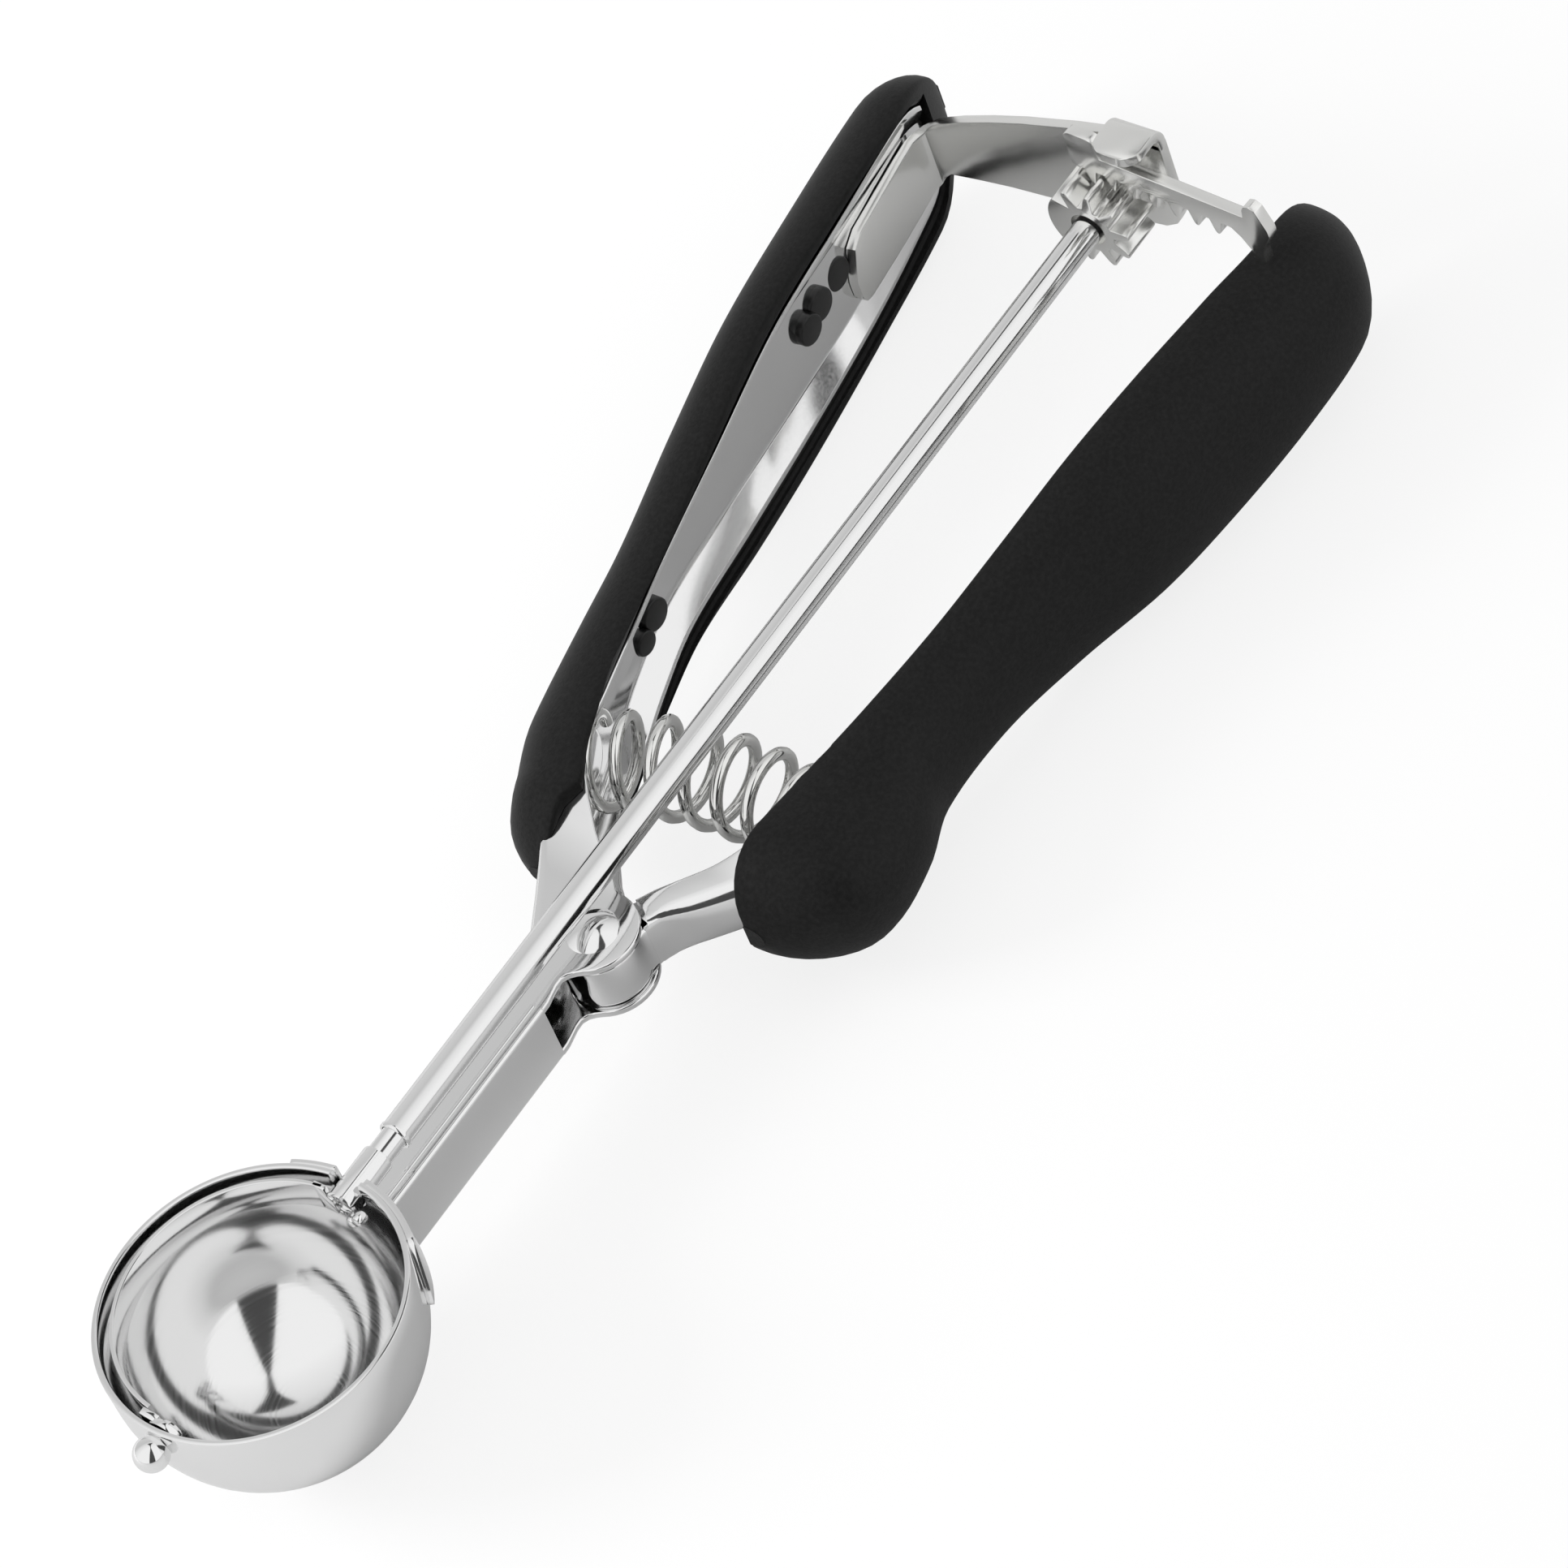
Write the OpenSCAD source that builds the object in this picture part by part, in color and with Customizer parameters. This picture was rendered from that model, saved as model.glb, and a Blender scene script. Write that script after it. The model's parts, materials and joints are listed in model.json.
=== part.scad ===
// Lever ice cream scoop with a rack-and-pinion scraper.
//
// The pieces are drawn about the middle of the bowl, on the axis of the wiper rod:
// +X runs along the rod towards the handles, +Z out of the bowl's mouth, and +Y
// towards the fixed handle. lay_down() then moves every piece the same way, so that
// the origin is below the middle of the scoop as it lies.

/* [Bowl] */
// Outer radius of the bowl at its rim
bowl_radius = 20.8; // [19:0.1:23]
// Thickness of the bowl's wall
bowl_wall = 0.9; // [0.7:0.05:1.2]
// Height of the rim above the rod's axis
rim_height = 3; // [2.6:0.1:4]
// Depth of the half ball's centre below the rod's axis
ball_drop = 2.1; // [1:0.1:3]
// Width of the notch in the rim that the scraper's sleeve passes through
notch_width = 4.8; // [4.7:0.1:6]

/* [Scraper and rod] */
// Gap between the scraper's blade and the bowl
blade_gap = 1.5; // [0.8:0.1:2]
// Thickness of the blade
blade_thickness = 0.6; // [0.5:0.05:0.9]
// Height of the blade, whose upper edge is level with the rim at rest
blade_height = 5; // [4:0.1:6]
// Radius of the rod that joins the scraper to the tube
core_radius = 1.75; // [1.6:0.05:1.8]
// Wall of the wiper tube, which closes on the rod
tube_wall = 0.38; // [0.35:0.01:0.45]
// Where the tube starts, from the middle of the bowl
tube_start = 29.3; // [28:0.1:34]
// Radius of the round head outside the bowl's far wall
pin_head_radius = 2.4; // [2:0.1:2.8]
// Radius of the pin that the scraper's eye turns on
pin_radius = 1.1; // [0.9:0.05:1.3]

/* [Rack and pinion] */
// Where the pinion starts, from the middle of the bowl
pinion_start = 191.5; // [190:0.1:192]
// Length of the pinion's teeth
pinion_length = 6.5; // [6:0.1:6.6]
// Tip radius of the pinion
pinion_tip_radius = 6.8; // [6.7:0.05:6.9]
// Root radius of the pinion
pinion_root_radius = 4; // [3.8:0.05:4.1]
// Distance from one tooth to the next, on the rack and round the pitch circle
tooth_pitch = 3.556; // [3.55:0.001:3.56]
// Thickness of the rack's plate
rack_thickness = 1.8; // [1.5:0.1:2]
// Thickness of the arm's plate
arm_thickness = 1.6; // [1.4:0.1:1.8]

/* [Stampings] */
// Thickness of the sheet that the frame and the lever are stamped from
sheet = 1.1; // [0.9:0.05:1.2]
// Height of the handles' middle plane, below the rod's axis
handle_level = -10.05; // [-10.3:0.05:-9.9]
// Half of the neck's height
neck_half = 5.1; // [5:0.05:5.3]
// Distance of the pivot from the middle of the bowl
pivot_x = 68.7; // [68:0.1:70]
// Sideways place of the pivot
pivot_y = -1.5; // [-1.7:0.1:-1.3]
// Radius of the frame's ears round the pivot
ear_radius = 6.4; // [6.2:0.1:6.8]
// Radius of the rivet that the lever turns on
rivet_radius = 2.2; // [1.8:0.1:2.4]

/* [Spring] */
// Outer radius of the spring's coils
spring_radius = 7.1; // [6.4:0.1:7.1]
// Thickness of the spring's wire
spring_wire = 1.8; // [1.5:0.1:1.9]
// Number of turns
spring_turns = 8; // [6:1:8]

/* [Grips] */
// Thickness of the hard liner between the tray and the soft cover
liner = 1.4; // [1.2:0.1:1.6]

/* [Hidden] */
$fn = 64;

fit_gap = 0.05;     // between a turning shaft and its hole, on the radius
tube_radius = core_radius + tube_wall;

// Bowl and what hangs from it
bowl_inner = bowl_radius - bowl_wall;
blade_radius = bowl_inner - blade_gap;
sleeve_radius = core_radius + 0.4;
sleeve_end = 26;
eye_outer = -(bowl_inner - 0.35);   // the scraper's eye, face towards the wall
eye_radius = 2.7;
saddle_thickness = 0.85;
saddle_top = 2;
saddle_bottom = -4.5;

// Rack and pinion
pitch_radius = tooth_pitch * 10 / (2 * PI);
pinion_end = pinion_start + pinion_length;
rack_front = 195.2;      // front of the rack's plate at rack_middle
rack_middle = -8;
rack_turn = atan2(rack_middle - 2 - pivot_y, rack_front - pivot_x);   // square to the pivot
rack_back = rack_front + rack_thickness;
arm_front = rack_back + 2.4;
arm_back = arm_front + arm_thickness;
rack_top = 10.45;

// Levels of the stampings
neck_top = handle_level + neck_half;
neck_bottom = handle_level - neck_half;
neck_right = -2.8;
neck_left = 5.5;
ear_gap = 2 * (neck_half - sheet);
lever_half = ear_gap / 2 - 0.25;

// Lines of the frame, from the end of the neck to the end of the tray:
// place along the rod, flange edge, web, half height, fall of the flange to the web
FRAME_LINE = [
    [55, -1.7, 5.48, neck_half - 0.02, 0], [57, -1.6, 5.48, neck_half - 0.02, 0],
    [63, -1.5, 5.9, neck_half - 0.02, 0], [69, -1, 9, neck_half - 0.02, 0],
    [75, 0.5, 12.6, neck_half + 0.1, 0], [80, 5, 15.6, 6, 0], [86, 11, 18.2, 8, 0.1],
    [92, 15.4, 20.3, 8.5, 0.1], [100, 17.7, 23, 8.4, 0.4], [110, 20.9, 25.6, 7.7, 2.2], [122, 24.3, 28.6, 7.5, 2.8],
    [140, 27.5, 31.6, 9.1, 3], [160, 31.1, 34.6, 10.8, 3], [180, 33.9, 36.6, 10.6, 3],
    [198, 36.9, 39.1, 9.6, 3], [202, 37.6, 39.8, 8.6, 3], [204.5, 38.2, 40.3, 6.8, 2.5]];
// Lines of the lever, with sideways places counted away from the fixed handle
LEVER_LINE = [
    [75, 2.9, 8.3, 4.4, 0], [78, 4.9, 11.5, 4.4, 0], [81, 7.3, 14.4, 4.4, 0], [84.4, 10, 17.3, 4.5, 0],
    [88.2, 12.6, 19.8, 5.4, 0], [93, 16, 21.2, 7.8, 0.1], [100, 17.5, 23, 8.5, 0.2], [110, 18.7, 23.3, 7.7, 2],
    [125, 20, 24.2, 7.7, 2.8],
    [140, 21.6, 26, 9.1, 3], [155, 23, 27.6, 10.4, 3], [170, 24.2, 29, 10.6, 3],
    [185, 24.9, 29.8, 9.6, 3], [200, 25.6, 30.2, 8.6, 3], [207, 24.4, 28.4, 6, 2.5]];
// Lines of the grips: place along the rod, front, half height, depth
FIXED_GRIP_LINE = [
    [73, 10.5, 7.5, 9.5], [76, 11.1, 8.1, 10.2], [81, 12.2, 9, 10.7], [84, 12.4, 9.6, 11.7],
    [87.5, 13.4, 9.9, 12], [92, 15.5, 9.9, 11.7], [98, 17.4, 9.6, 11.6], [104, 19.3, 9.6, 11],
    [110, 21.2, 9.6, 10.2], [122, 24.2, 9.7, 9.5], [140, 27.6, 12.4, 10], [158, 31.1, 14.5, 9.9],
    [180, 34, 13.8, 10.7], [200, 36.9, 12.8, 10.3], [211.6, 39.7, 11.6, 7.2]];
LEVER_GRIP_LINE = [
    [79, 14.4, 9.9, 13.9], [90, 16.1, 10.5, 17], [100, 16.8, 9.8, 15.5], [110, 18.1, 10, 10.4],
    [125, 19.5, 10.3, 8.7], [140, 21.1, 12.1, 9.3], [155, 22.5, 13.8, 11.6], [170, 23.7, 14.1, 12.4],
    [185, 24.3, 12.9, 13.4], [200, 25, 12, 12.1], [211.3, 21.6, 11.5, 11.5]];

// The scoop's outermost places, which set the origin
front_end = -(bowl_radius + 0.05 + 2 * pin_head_radius - 1);
back_end = last(FIXED_GRIP_LINE)[0];
left_end = max([for (r = FIXED_GRIP_LINE) r[1] + r[3]]);
right_end = -max([for (r = LEVER_GRIP_LINE) r[1] + r[3]]);
low_end = handle_level - max([for (r = FIXED_GRIP_LINE) r[2]]);

// ---- Curves and lofts ----

function last(list) = list[len(list) - 1];

// Slope of column k at row i of a table of lines
function line_slope(rows, i, k) =
    let (a = max(i - 1, 0), b = min(i + 1, len(rows) - 1))
    (rows[b][k] - rows[a][k]) / (rows[b][0] - rows[a][0]);

// Row of a table of lines at place x, on smooth curves through its rows
function line_at(rows, x) =
    let (i = max([for (j = [0 : len(rows) - 2]) if (j == 0 || rows[j][0] <= x) j]),
         dx = rows[i + 1][0] - rows[i][0], t = (x - rows[i][0]) / dx)
    [for (k = [0 : len(rows[0]) - 1]) k == 0 ? x :
        (2 * t ^ 3 - 3 * t ^ 2 + 1) * rows[i][k] + (3 * t ^ 2 - 2 * t ^ 3) * rows[i + 1][k]
        + dx * ((t ^ 3 - 2 * t ^ 2 + t) * line_slope(rows, i, k)
                + (t ^ 3 - t ^ 2) * line_slope(rows, i + 1, k))];

// A solid through rings that all have the same even number of points. Each end is
// closed by strips between the two halves of its ring.
module loft(rings) {
    count = len(rings[0]);
    end = (len(rings) - 1) * count;
    sides = [for (i = [0 : len(rings) - 2], j = [0 : count - 1])
        let (a = i * count + j, b = i * count + (j + 1) % count)
        each [[a, b, b + count], [a, b + count, a + count]]];
    caps = [for (j = [0 : count / 2 - 2]) let (k = count - 1 - j)
        each [[j + 1, j, k], [j + 1, k, k - 1],
              [end + j, end + j + 1, end + k], [end + j + 1, end + k - 1, end + k]]];
    polyhedron(points = [for (ring = rings) each ring], faces = concat(sides, caps));
}

// A ring of [y, z] points, z counted from the handles' level, at place x
function ring(x, points) = [for (p = points) [x, p[0], handle_level + p[1]]];

function mirrored(points) = [for (i = [len(points) - 1 : -1 : 0]) [points[i][0], -points[i][1]]];

// Places along the rod from a to b: the ends, and every whole step between them, so
// that pieces which lie on each other bend at the same places
step = 5;
function places(a, b) = concat([a], [for (i = [floor(a / step) + 1 : ceil(b / step) - 1]) step * i], [b]);

// ---- Stamped channels: a web and two flanges ----

clear_front = 8;     // how far a hollow reaches past the flanges' edges
corner = 1.5;        // bend between web and flange, along each of them

// Upper half of the channel's outside, from the flange's edge to the web
function channel_outside(r) =
    let (a = atan2(r[4], r[2] - r[1]), v = r[3] - r[4])
    [[r[1], r[3]], [r[2] - corner * cos(a), v + corner * sin(a)],
     [r[2] - 0.3 * corner, v - 0.3 * corner + 0.5 * corner * sin(a)], [r[2], v - corner]];

// Upper half of the channel's inside, from the web to the flange's edge
function channel_inside(r) =
    let (a = atan2(r[4], r[2] - r[1]), v = r[3] - r[4], w = r[2] - sheet,
         b = v - sheet * (1 - sin(a)) / cos(a), bend = corner - 0.7 * sheet)
    [[w, b - bend], [w - 0.3 * bend, b - 0.3 * bend + 0.5 * bend * sin(a)],
     [w - bend * cos(a), b + bend * sin(a)],
     [r[1], v + ((r[2] - r[1]) * sin(a) - sheet) / cos(a)]];

function channel_section(r) =
    let (upper = channel_outside(r), inner = channel_inside(r))
    concat(upper, mirrored(upper), mirrored(inner), inner);

// The channel's outside and the whole hollow in front of it
function envelope_section(r, front) =
    let (upper = concat([[front, r[3]]], channel_outside(r))) concat(upper, mirrored(upper));

module channel(rows, from, to) {
    loft([for (x = places(from, to)) ring(x, channel_section(line_at(rows, x)))]);
}

module envelope(rows, from, to) {
    loft([for (x = places(from, to))
        let (r = line_at(rows, x)) ring(x, envelope_section(r, r[1] - clear_front))]);
}

// ---- Bowl ----

module bowl_solid(r) {
    translate([0, 0, -ball_drop]) {
        intersection() {
            sphere(r);
            translate([0, 0, -r]) cube([3 * r, 3 * r, 2 * r], center = true);
        }
        cylinder(r = r, h = rim_height + ball_drop);
    }
}

module bowl() {
    color("silver")
    difference() {
        bowl_solid(bowl_radius);
        translate([0, 0, -ball_drop]) {
            sphere(bowl_inner);
            cylinder(r = bowl_inner, h = rim_height + ball_drop + 1);
        }
        // notch for the scraper's sleeve
        rotate([0, 90, 0]) cylinder(d = notch_width, h = 2 * bowl_radius);
        translate([0, -notch_width / 2, 0]) cube([2 * bowl_radius, notch_width, 2 * rim_height]);
        // hole for the ball pin
        translate([-2 * bowl_radius, 0, 0]) rotate([0, 90, 0]) cylinder(r = pin_radius, h = 2 * bowl_radius);
    }
}

module ball_pin() {
    head_face = -bowl_radius - 0.05;
    inner_end = eye_outer + blade_thickness + 0.1;
    color("gainsboro")
    rotate([0, 90, 0]) rotate_extrude() union() {
        intersection() {
            translate([0, head_face - pin_head_radius + 1]) circle(pin_head_radius);
            translate([0, head_face - 20]) square([10, 20]);
        }
        translate([0, head_face - 1]) square([pin_radius, inner_end - head_face + 1]);
        polygon([[0, inner_end], [pin_radius + 0.8, inner_end], [pin_radius + 0.3, inner_end + 0.7],
            [0, inner_end + 0.7]]);
    }
}

// ---- Scraper and its shaft ----

module scraper() {
    top = rim_height;
    color("silver")
    difference() {
        union() {
            // the blade, a half ring that stands on edge
            intersection() {
                translate([0, 0, top - blade_height]) difference() {
                    cylinder(r = blade_radius, h = blade_height);
                    translate([0, 0, -1]) cylinder(r = blade_radius - blade_thickness, h = blade_height + 2);
                }
                translate([-2 * blade_radius, eye_radius - 0.5, -10])
                    cube([4 * blade_radius, 3 * blade_radius, 20]);
            }
            // the eye at the far wall
            translate([eye_outer, 0, 0]) rotate([0, 90, 0]) cylinder(r = eye_radius, h = blade_thickness);
            translate([eye_outer + 0.3, eye_radius - 0.7, top - blade_height])
                cube([blade_thickness + 0.3, 1.2, blade_height]);
            // the sleeve that is rolled round the rod
            translate([blade_radius - blade_thickness, 0, 0]) rotate([0, 90, 0])
                cylinder(r = sleeve_radius, h = sleeve_end - blade_radius + blade_thickness);
            translate([blade_radius - blade_thickness - 0.3, 0, top - blade_height])
                cube([blade_thickness, 3.4, blade_height]);
        }
        translate([eye_outer - 1, 0, 0]) rotate([0, 90, 0])
            cylinder(r = pin_radius + fit_gap, h = blade_thickness + 3);
        translate([blade_radius - 3, 0, 0]) rotate([0, 90, 0]) cylinder(r = core_radius, h = 20);
    }
}

module core_rod() {
    color("gainsboro")
    union() {
        translate([blade_radius - 0.4, 0, 0]) rotate([0, 90, 0])
            cylinder(r = core_radius, h = arm_back + fit_gap - blade_radius + 0.4);
        // head that is peened over behind the arm
        translate([arm_back + fit_gap, 0, 0]) rotate([0, 90, 0])
            cylinder(r1 = core_radius + 0.9, r2 = core_radius, h = 1);
    }
}

module wiper_tube() {
    color("silver")
    difference() {
        union() {
            translate([tube_start, 0, 0]) rotate([0, 90, 0])
                cylinder(r = tube_radius, h = pinion_end - tube_start);
            translate([tube_start, 0, 0]) rotate([0, 90, 0]) cylinder(r = tube_radius + 0.15, h = 0.7);
        }
        translate([tube_start - 1, 0, 0]) rotate([0, 90, 0])
            cylinder(r = core_radius, h = pinion_end - tube_start + 2);
    }
}

// ---- Rack and pinion ----

tooth_tip = 0.95;        // width of a pinion tooth at its tip
tooth_root = 1.5;        // and at its root
first_tooth = 66;        // angle of the first tooth from +Y, on the turning-away side of the rack
tooth_count = 7;
blank_radius = 6.5;      // radius of the pinion where it has no teeth

module pinion_tooth() {
    polygon([[pinion_root_radius - 0.6, -tooth_root / 2], [pitch_radius + 0.3, -tooth_root / 2 + 0.12],
             [pinion_tip_radius - 0.3, -tooth_tip / 2], [pinion_tip_radius, -tooth_tip / 4],
             [pinion_tip_radius, tooth_tip / 4], [pinion_tip_radius - 0.3, tooth_tip / 2],
             [pitch_radius + 0.3, tooth_root / 2 - 0.12], [pinion_root_radius - 0.6, tooth_root / 2]]);
}

module pinion() {
    color("lightgray")
    translate([pinion_start, 0, 0]) rotate([90, 0, 90])
    difference() {
        union() {
            linear_extrude(pinion_length) union() {
                circle(pinion_root_radius);
                for (i = [0 : tooth_count - 1]) rotate(first_tooth + 36 * i) pinion_tooth();
                // the stretch that never meets the rack
                intersection() {
                    circle(blank_radius);
                    polygon([[0, 0], 10 * [cos(44), sin(44)], [12, 0], 10 * [cos(-58), sin(-58)]]);
                }
            }
            cylinder(r = 3.3, h = arm_front - fit_gap - pinion_start);
        }
        // bore for the tube, wider at the mouth
        translate([0, 0, -1]) cylinder(r = tube_radius, h = pinion_length + 1);
        translate([0, 0, -1]) cylinder(r = tube_radius + 0.6, h = 2.5);
        cylinder(r = core_radius, h = 20);
    }
}

rack_tip = pitch_radius - 1.07;
rack_root = pinion_tip_radius + 0.35;
rack_tip_width = 0.8;
rack_root_width = 2;

module rack_tooth() {
    polygon([[-rack_root_width / 2, rack_root + 0.1], [-rack_tip_width / 2, rack_tip + 0.2],
             [-rack_tip_width / 4, rack_tip], [rack_tip_width / 4, rack_tip],
             [rack_tip_width / 2, rack_tip + 0.2], [rack_root_width / 2, rack_root + 0.1]]);
}

// Outline of the rack's plate, as y and z
module rack_outline() {
    bump_height = 3.3;
    union() {
        translate([-26, rack_root]) square([29.7, rack_top - rack_root]);
        // stop tab against the arm at rest
        translate([-1.9, rack_top - 1]) square([5.6, bump_height]);
        for (y = [-0.9, 2.7]) translate([y, rack_top + bump_height - 1]) circle(1);
        translate([-0.9, rack_top]) square([3.6, bump_height]);
        // stop tab against the arm when the lever is squeezed, and the stem
        polygon([[-26.4, rack_root], [-26.4, rack_top + 1.5], [-26.9, rack_top + 2.4], [-27.8, rack_top + 2.7],
                 [-28.8, rack_top + 2.2], [-30.1, rack_top - 1], [-30.2, rack_top - 2.4], [-28.2, 4.8], [-28, 3.8],
                 [-28, -16], [-24.6, -16], [-24.6, -1], [-26, 1], [-26.2, 3.8], [-24.8, 6], [-23, rack_root]]);
        for (i = [0 : 6]) translate([0.6 - tooth_pitch * i, 0]) rack_tooth();
    }
}

// Slot through the lever's upper lip that the rack's plate comes out of
module rack_slot() {
    turn_rack() translate([-0.1, -28.1, handle_level + 3]) cube([rack_thickness + 0.2, 12, 20]);
}

module turn_rack() {
    translate([rack_front, rack_middle, 0]) rotate([0, 0, rack_turn]) translate([0, -rack_middle, 0]) children();
}

module rack_arm() {
    leg_length = 20;
    leg_thickness = 1.5;
    leg_gap = 0.28;
    web_start = line_at(LEVER_LINE, rack_front - leg_length);
    web_end = line_at(LEVER_LINE, rack_front);
    color("lightgray")
    union() {
        turn_rack() rotate([90, 0, 90]) linear_extrude(rack_thickness) rack_outline();
        // leg on the web of the lever
        translate([web_start[0], -web_start[2] + sheet + leg_gap, handle_level - 6])
            rotate([0, 0, atan2(web_start[2] - web_end[2], leg_length)]) cube([leg_length, leg_thickness, 12]);
    }
}

// Outline of the arm's plate behind the pinion, as y and z
module arm_outline() {
    polygon([[38.4, -6.8], [36, -4.6], [33.5, -2.4], [21.8, 3.5], [9.5, 8.6], [0.2, 11.1], [tab_left, 12],
             [tab_left, tab_level - tab_bend], [tab_right, tab_level - tab_bend], [tab_right + 0.1, -1.5],
             [-8.5, -3.8], [-6.5, -5], [-2, -5.6], [5, -6.3], [13.9, -8.2], [21.9, -9.8], [33, -12.5],
             [35.5, -14], [38.4, -15.8]]);
}

weld_gap = 0.25;        // between a leg and the curved web that it is welded to
tab_left = -2.4;        // sides of the arm's tab
tab_right = -9.8;
tab_level = 13.5;       // its lower face
tab_bend = 1;           // inner radius of its bend
tab_length = 7.4;

module gear_arm() {
    bend = 8;                 // where the plate starts to lean back, towards the tray
    lean = 4.7;
    leg_length = 24;
    leg_thickness = 1.5;
    leg_start = arm_front + 3 - leg_length;
    web_start = line_at(FRAME_LINE, leg_start);
    web_end = line_at(FRAME_LINE, leg_start + leg_length);
    color("lightgray")
    difference() {
        union() {
            translate([arm_front, 0, 0]) rotate([90, 0, 90]) linear_extrude(arm_thickness)
                intersection() {
                    arm_outline();
                    translate([-20, -20]) square([20 + bend, 40]);
                }
            translate([arm_front, bend, 0]) rotate([0, 0, -lean]) translate([0, -bend, 0])
                rotate([90, 0, 90]) linear_extrude(arm_thickness)
                intersection() {
                    arm_outline();
                    translate([bend, -20]) square([40, 40]);
                }
            // tab over the rack, bent forwards
            translate([arm_front - tab_bend, tab_left, tab_level - tab_bend]) rotate([90, 0, 0])
                rotate_extrude(angle = 90) translate([tab_bend, 0]) square([arm_thickness, tab_left - tab_right]);
            translate([arm_front + arm_thickness - tab_length, tab_right, tab_level])
                hook_tab(tab_length - arm_thickness - tab_bend, tab_left - tab_right);
            // leg on the web of the tray
            translate([leg_start, web_start[2] - sheet - weld_gap, handle_level - 6])
                rotate([0, 0, atan2(web_end[2] - web_start[2], leg_length)])
                translate([0, -leg_thickness, 0]) cube([leg_length, leg_thickness, 11]);
        }
        translate([arm_front - 5, 0, 0]) rotate([0, 90, 0]) cylinder(r = core_radius + fit_gap, h = 10);
    }
}

module hook_tab(length, width) {
    round_end = 2.6;
    linear_extrude(arm_thickness) union() {
        translate([round_end, 0]) square([length - round_end, width]);
        translate([0, round_end]) square([length, width - 2 * round_end]);
        for (y = [round_end, width - round_end]) translate([round_end, y]) circle(round_end);
    }
}

// ---- Frame ----

// The tabs of the neck that clasp the bowl, and the flap that joins them to it, solid
// to where the bowl is cut out
module saddle() {
    flap_bottom = neck_top - 2 * sheet;
    difference() {
        saddle_band(-40, 24, flap_bottom, saddle_top, bowl_radius + saddle_thickness);
        saddle_band(-45, -7, flap_bottom - 1, saddle_bottom, bowl_radius + 5);
        saddle_band(14, 29, flap_bottom - 1, saddle_bottom, bowl_radius + 5);
    }
}

module saddle_band(from, to, bottom, top, r) {
    rotate([0, 0, from]) rotate_extrude(angle = to - from) intersection() {
        union() {
            translate([0, -ball_drop]) circle(r);
            translate([0, -ball_drop]) square([r, 10]);
        }
        translate([12, bottom]) square([20, top - bottom]);
    }
}

// Outline of the box neck, as y and z, drawn in by `inset`
module neck_outline(inset, round) {
    right = neck_right + inset;
    left = neck_left - inset;
    half = neck_half - inset;
    translate([right + round, -half]) square([left - right - 2 * round, 2 * half]);
    translate([right, -half + round]) square([left - right, 2 * (half - round)]);
    for (y = [right + round, left - round], z = [-half + round, half - round])
        translate([y, z]) circle(round);
}

module frame() {
    neck_start = 14;
    cut_edge = 55.8;
    color("silver")
    difference() {
        union() {
            difference() {
                union() {
                    saddle();
                    channel(FRAME_LINE, FRAME_LINE[0][0], last(FRAME_LINE)[0]);
                    translate([neck_start, 0, handle_level]) rotate([90, 0, 90])
                        linear_extrude(cut_edge - neck_start) difference() {
                            neck_outline(0, 1.5);
                            neck_outline(sheet, 0.4);
                        }
                }
                bowl_solid(bowl_radius);
                translate([0, -notch_width / 2, -notch_width / 2]) cube([30, notch_width, 10]);
            }
            spring_boss(FRAME_LINE, fixed_seat);
            for (z = [neck_bottom, neck_top - sheet]) translate([0, 0, z]) {
                translate([pivot_x, pivot_y, 0]) cylinder(r = ear_radius, h = sheet);
                linear_extrude(sheet) polygon([[cut_edge - 0.6, neck_right + 1.6], [cut_edge - 0.1, neck_right + 1.6],
                    [cut_edge - 0.1, neck_right], [57.5, -2.7], [59.5, -2.2], [61.5, -2.6], [63.3, -4.6],
                    [66, 0], [66, 3.5], [cut_edge - 0.6, 3.5]]);
            }
        }
        translate([pivot_x, pivot_y, neck_bottom - 1]) cylinder(r = rivet_radius, h = 2 * neck_half + 2);
        for (pin = FIXED_PINS) pin_hole(pin);
    }
}

module pivot_rivet() {
    head_radius = 3.7;
    head_height = 1.5;
    color("gainsboro")
    translate([pivot_x, pivot_y, 0]) union() {
        translate([0, 0, neck_bottom]) cylinder(r = rivet_radius, h = 2 * neck_half);
        translate([0, 0, neck_top]) dome(head_radius, head_height);
        translate([0, 0, neck_bottom]) mirror([0, 0, 1]) dome(head_radius, head_height);
    }
}

// A flat cap of a ball
module dome(r, h) {
    ball = (r ^ 2 + h ^ 2) / (2 * h);
    intersection() {
        translate([0, 0, h - ball]) sphere(ball);
        cylinder(r = 2 * r, h = 2 * h);
    }
}

module pivot_bush() {
    bush_height = ear_gap - 0.06;
    color("gainsboro")
    translate([pivot_x, pivot_y, handle_level - bush_height / 2]) difference() {
        cylinder(r = rivet_radius + 0.8, h = bush_height);
        translate([0, 0, -1]) cylinder(r = rivet_radius, h = bush_height + 2);
    }
}

// ---- Lever ----

nose_radius = 5.9;

// Outline of the lever where it wraps the pivot
module nose_outline() {
    translate([pivot_x, pivot_y]) circle(nose_radius);
    polygon([[70, -7.2], [71, -6.9], [73.1, -7.3], [75, -8.3], [76, -9.25], [76, -3.7], [74.4, -1.5], [70, 0]]);
}

module nose_hollow() {
    translate([pivot_x, pivot_y]) circle(nose_radius - sheet);
    polygon([[69.4, -6.2], [71.2, -5.8], [72.8, -6.2], [74.5, -7], [77, -9.3], [77, 10], [pivot_x, 10]]);
}

// Room for the frame's ears beside the nose
module ear_room() {
    translate([pivot_x, pivot_y, 0]) for (z = [handle_level - lever_half - 10, handle_level + lever_half])
        translate([0, 0, z]) cylinder(r = ear_radius + 0.7, h = 10);
}

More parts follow.
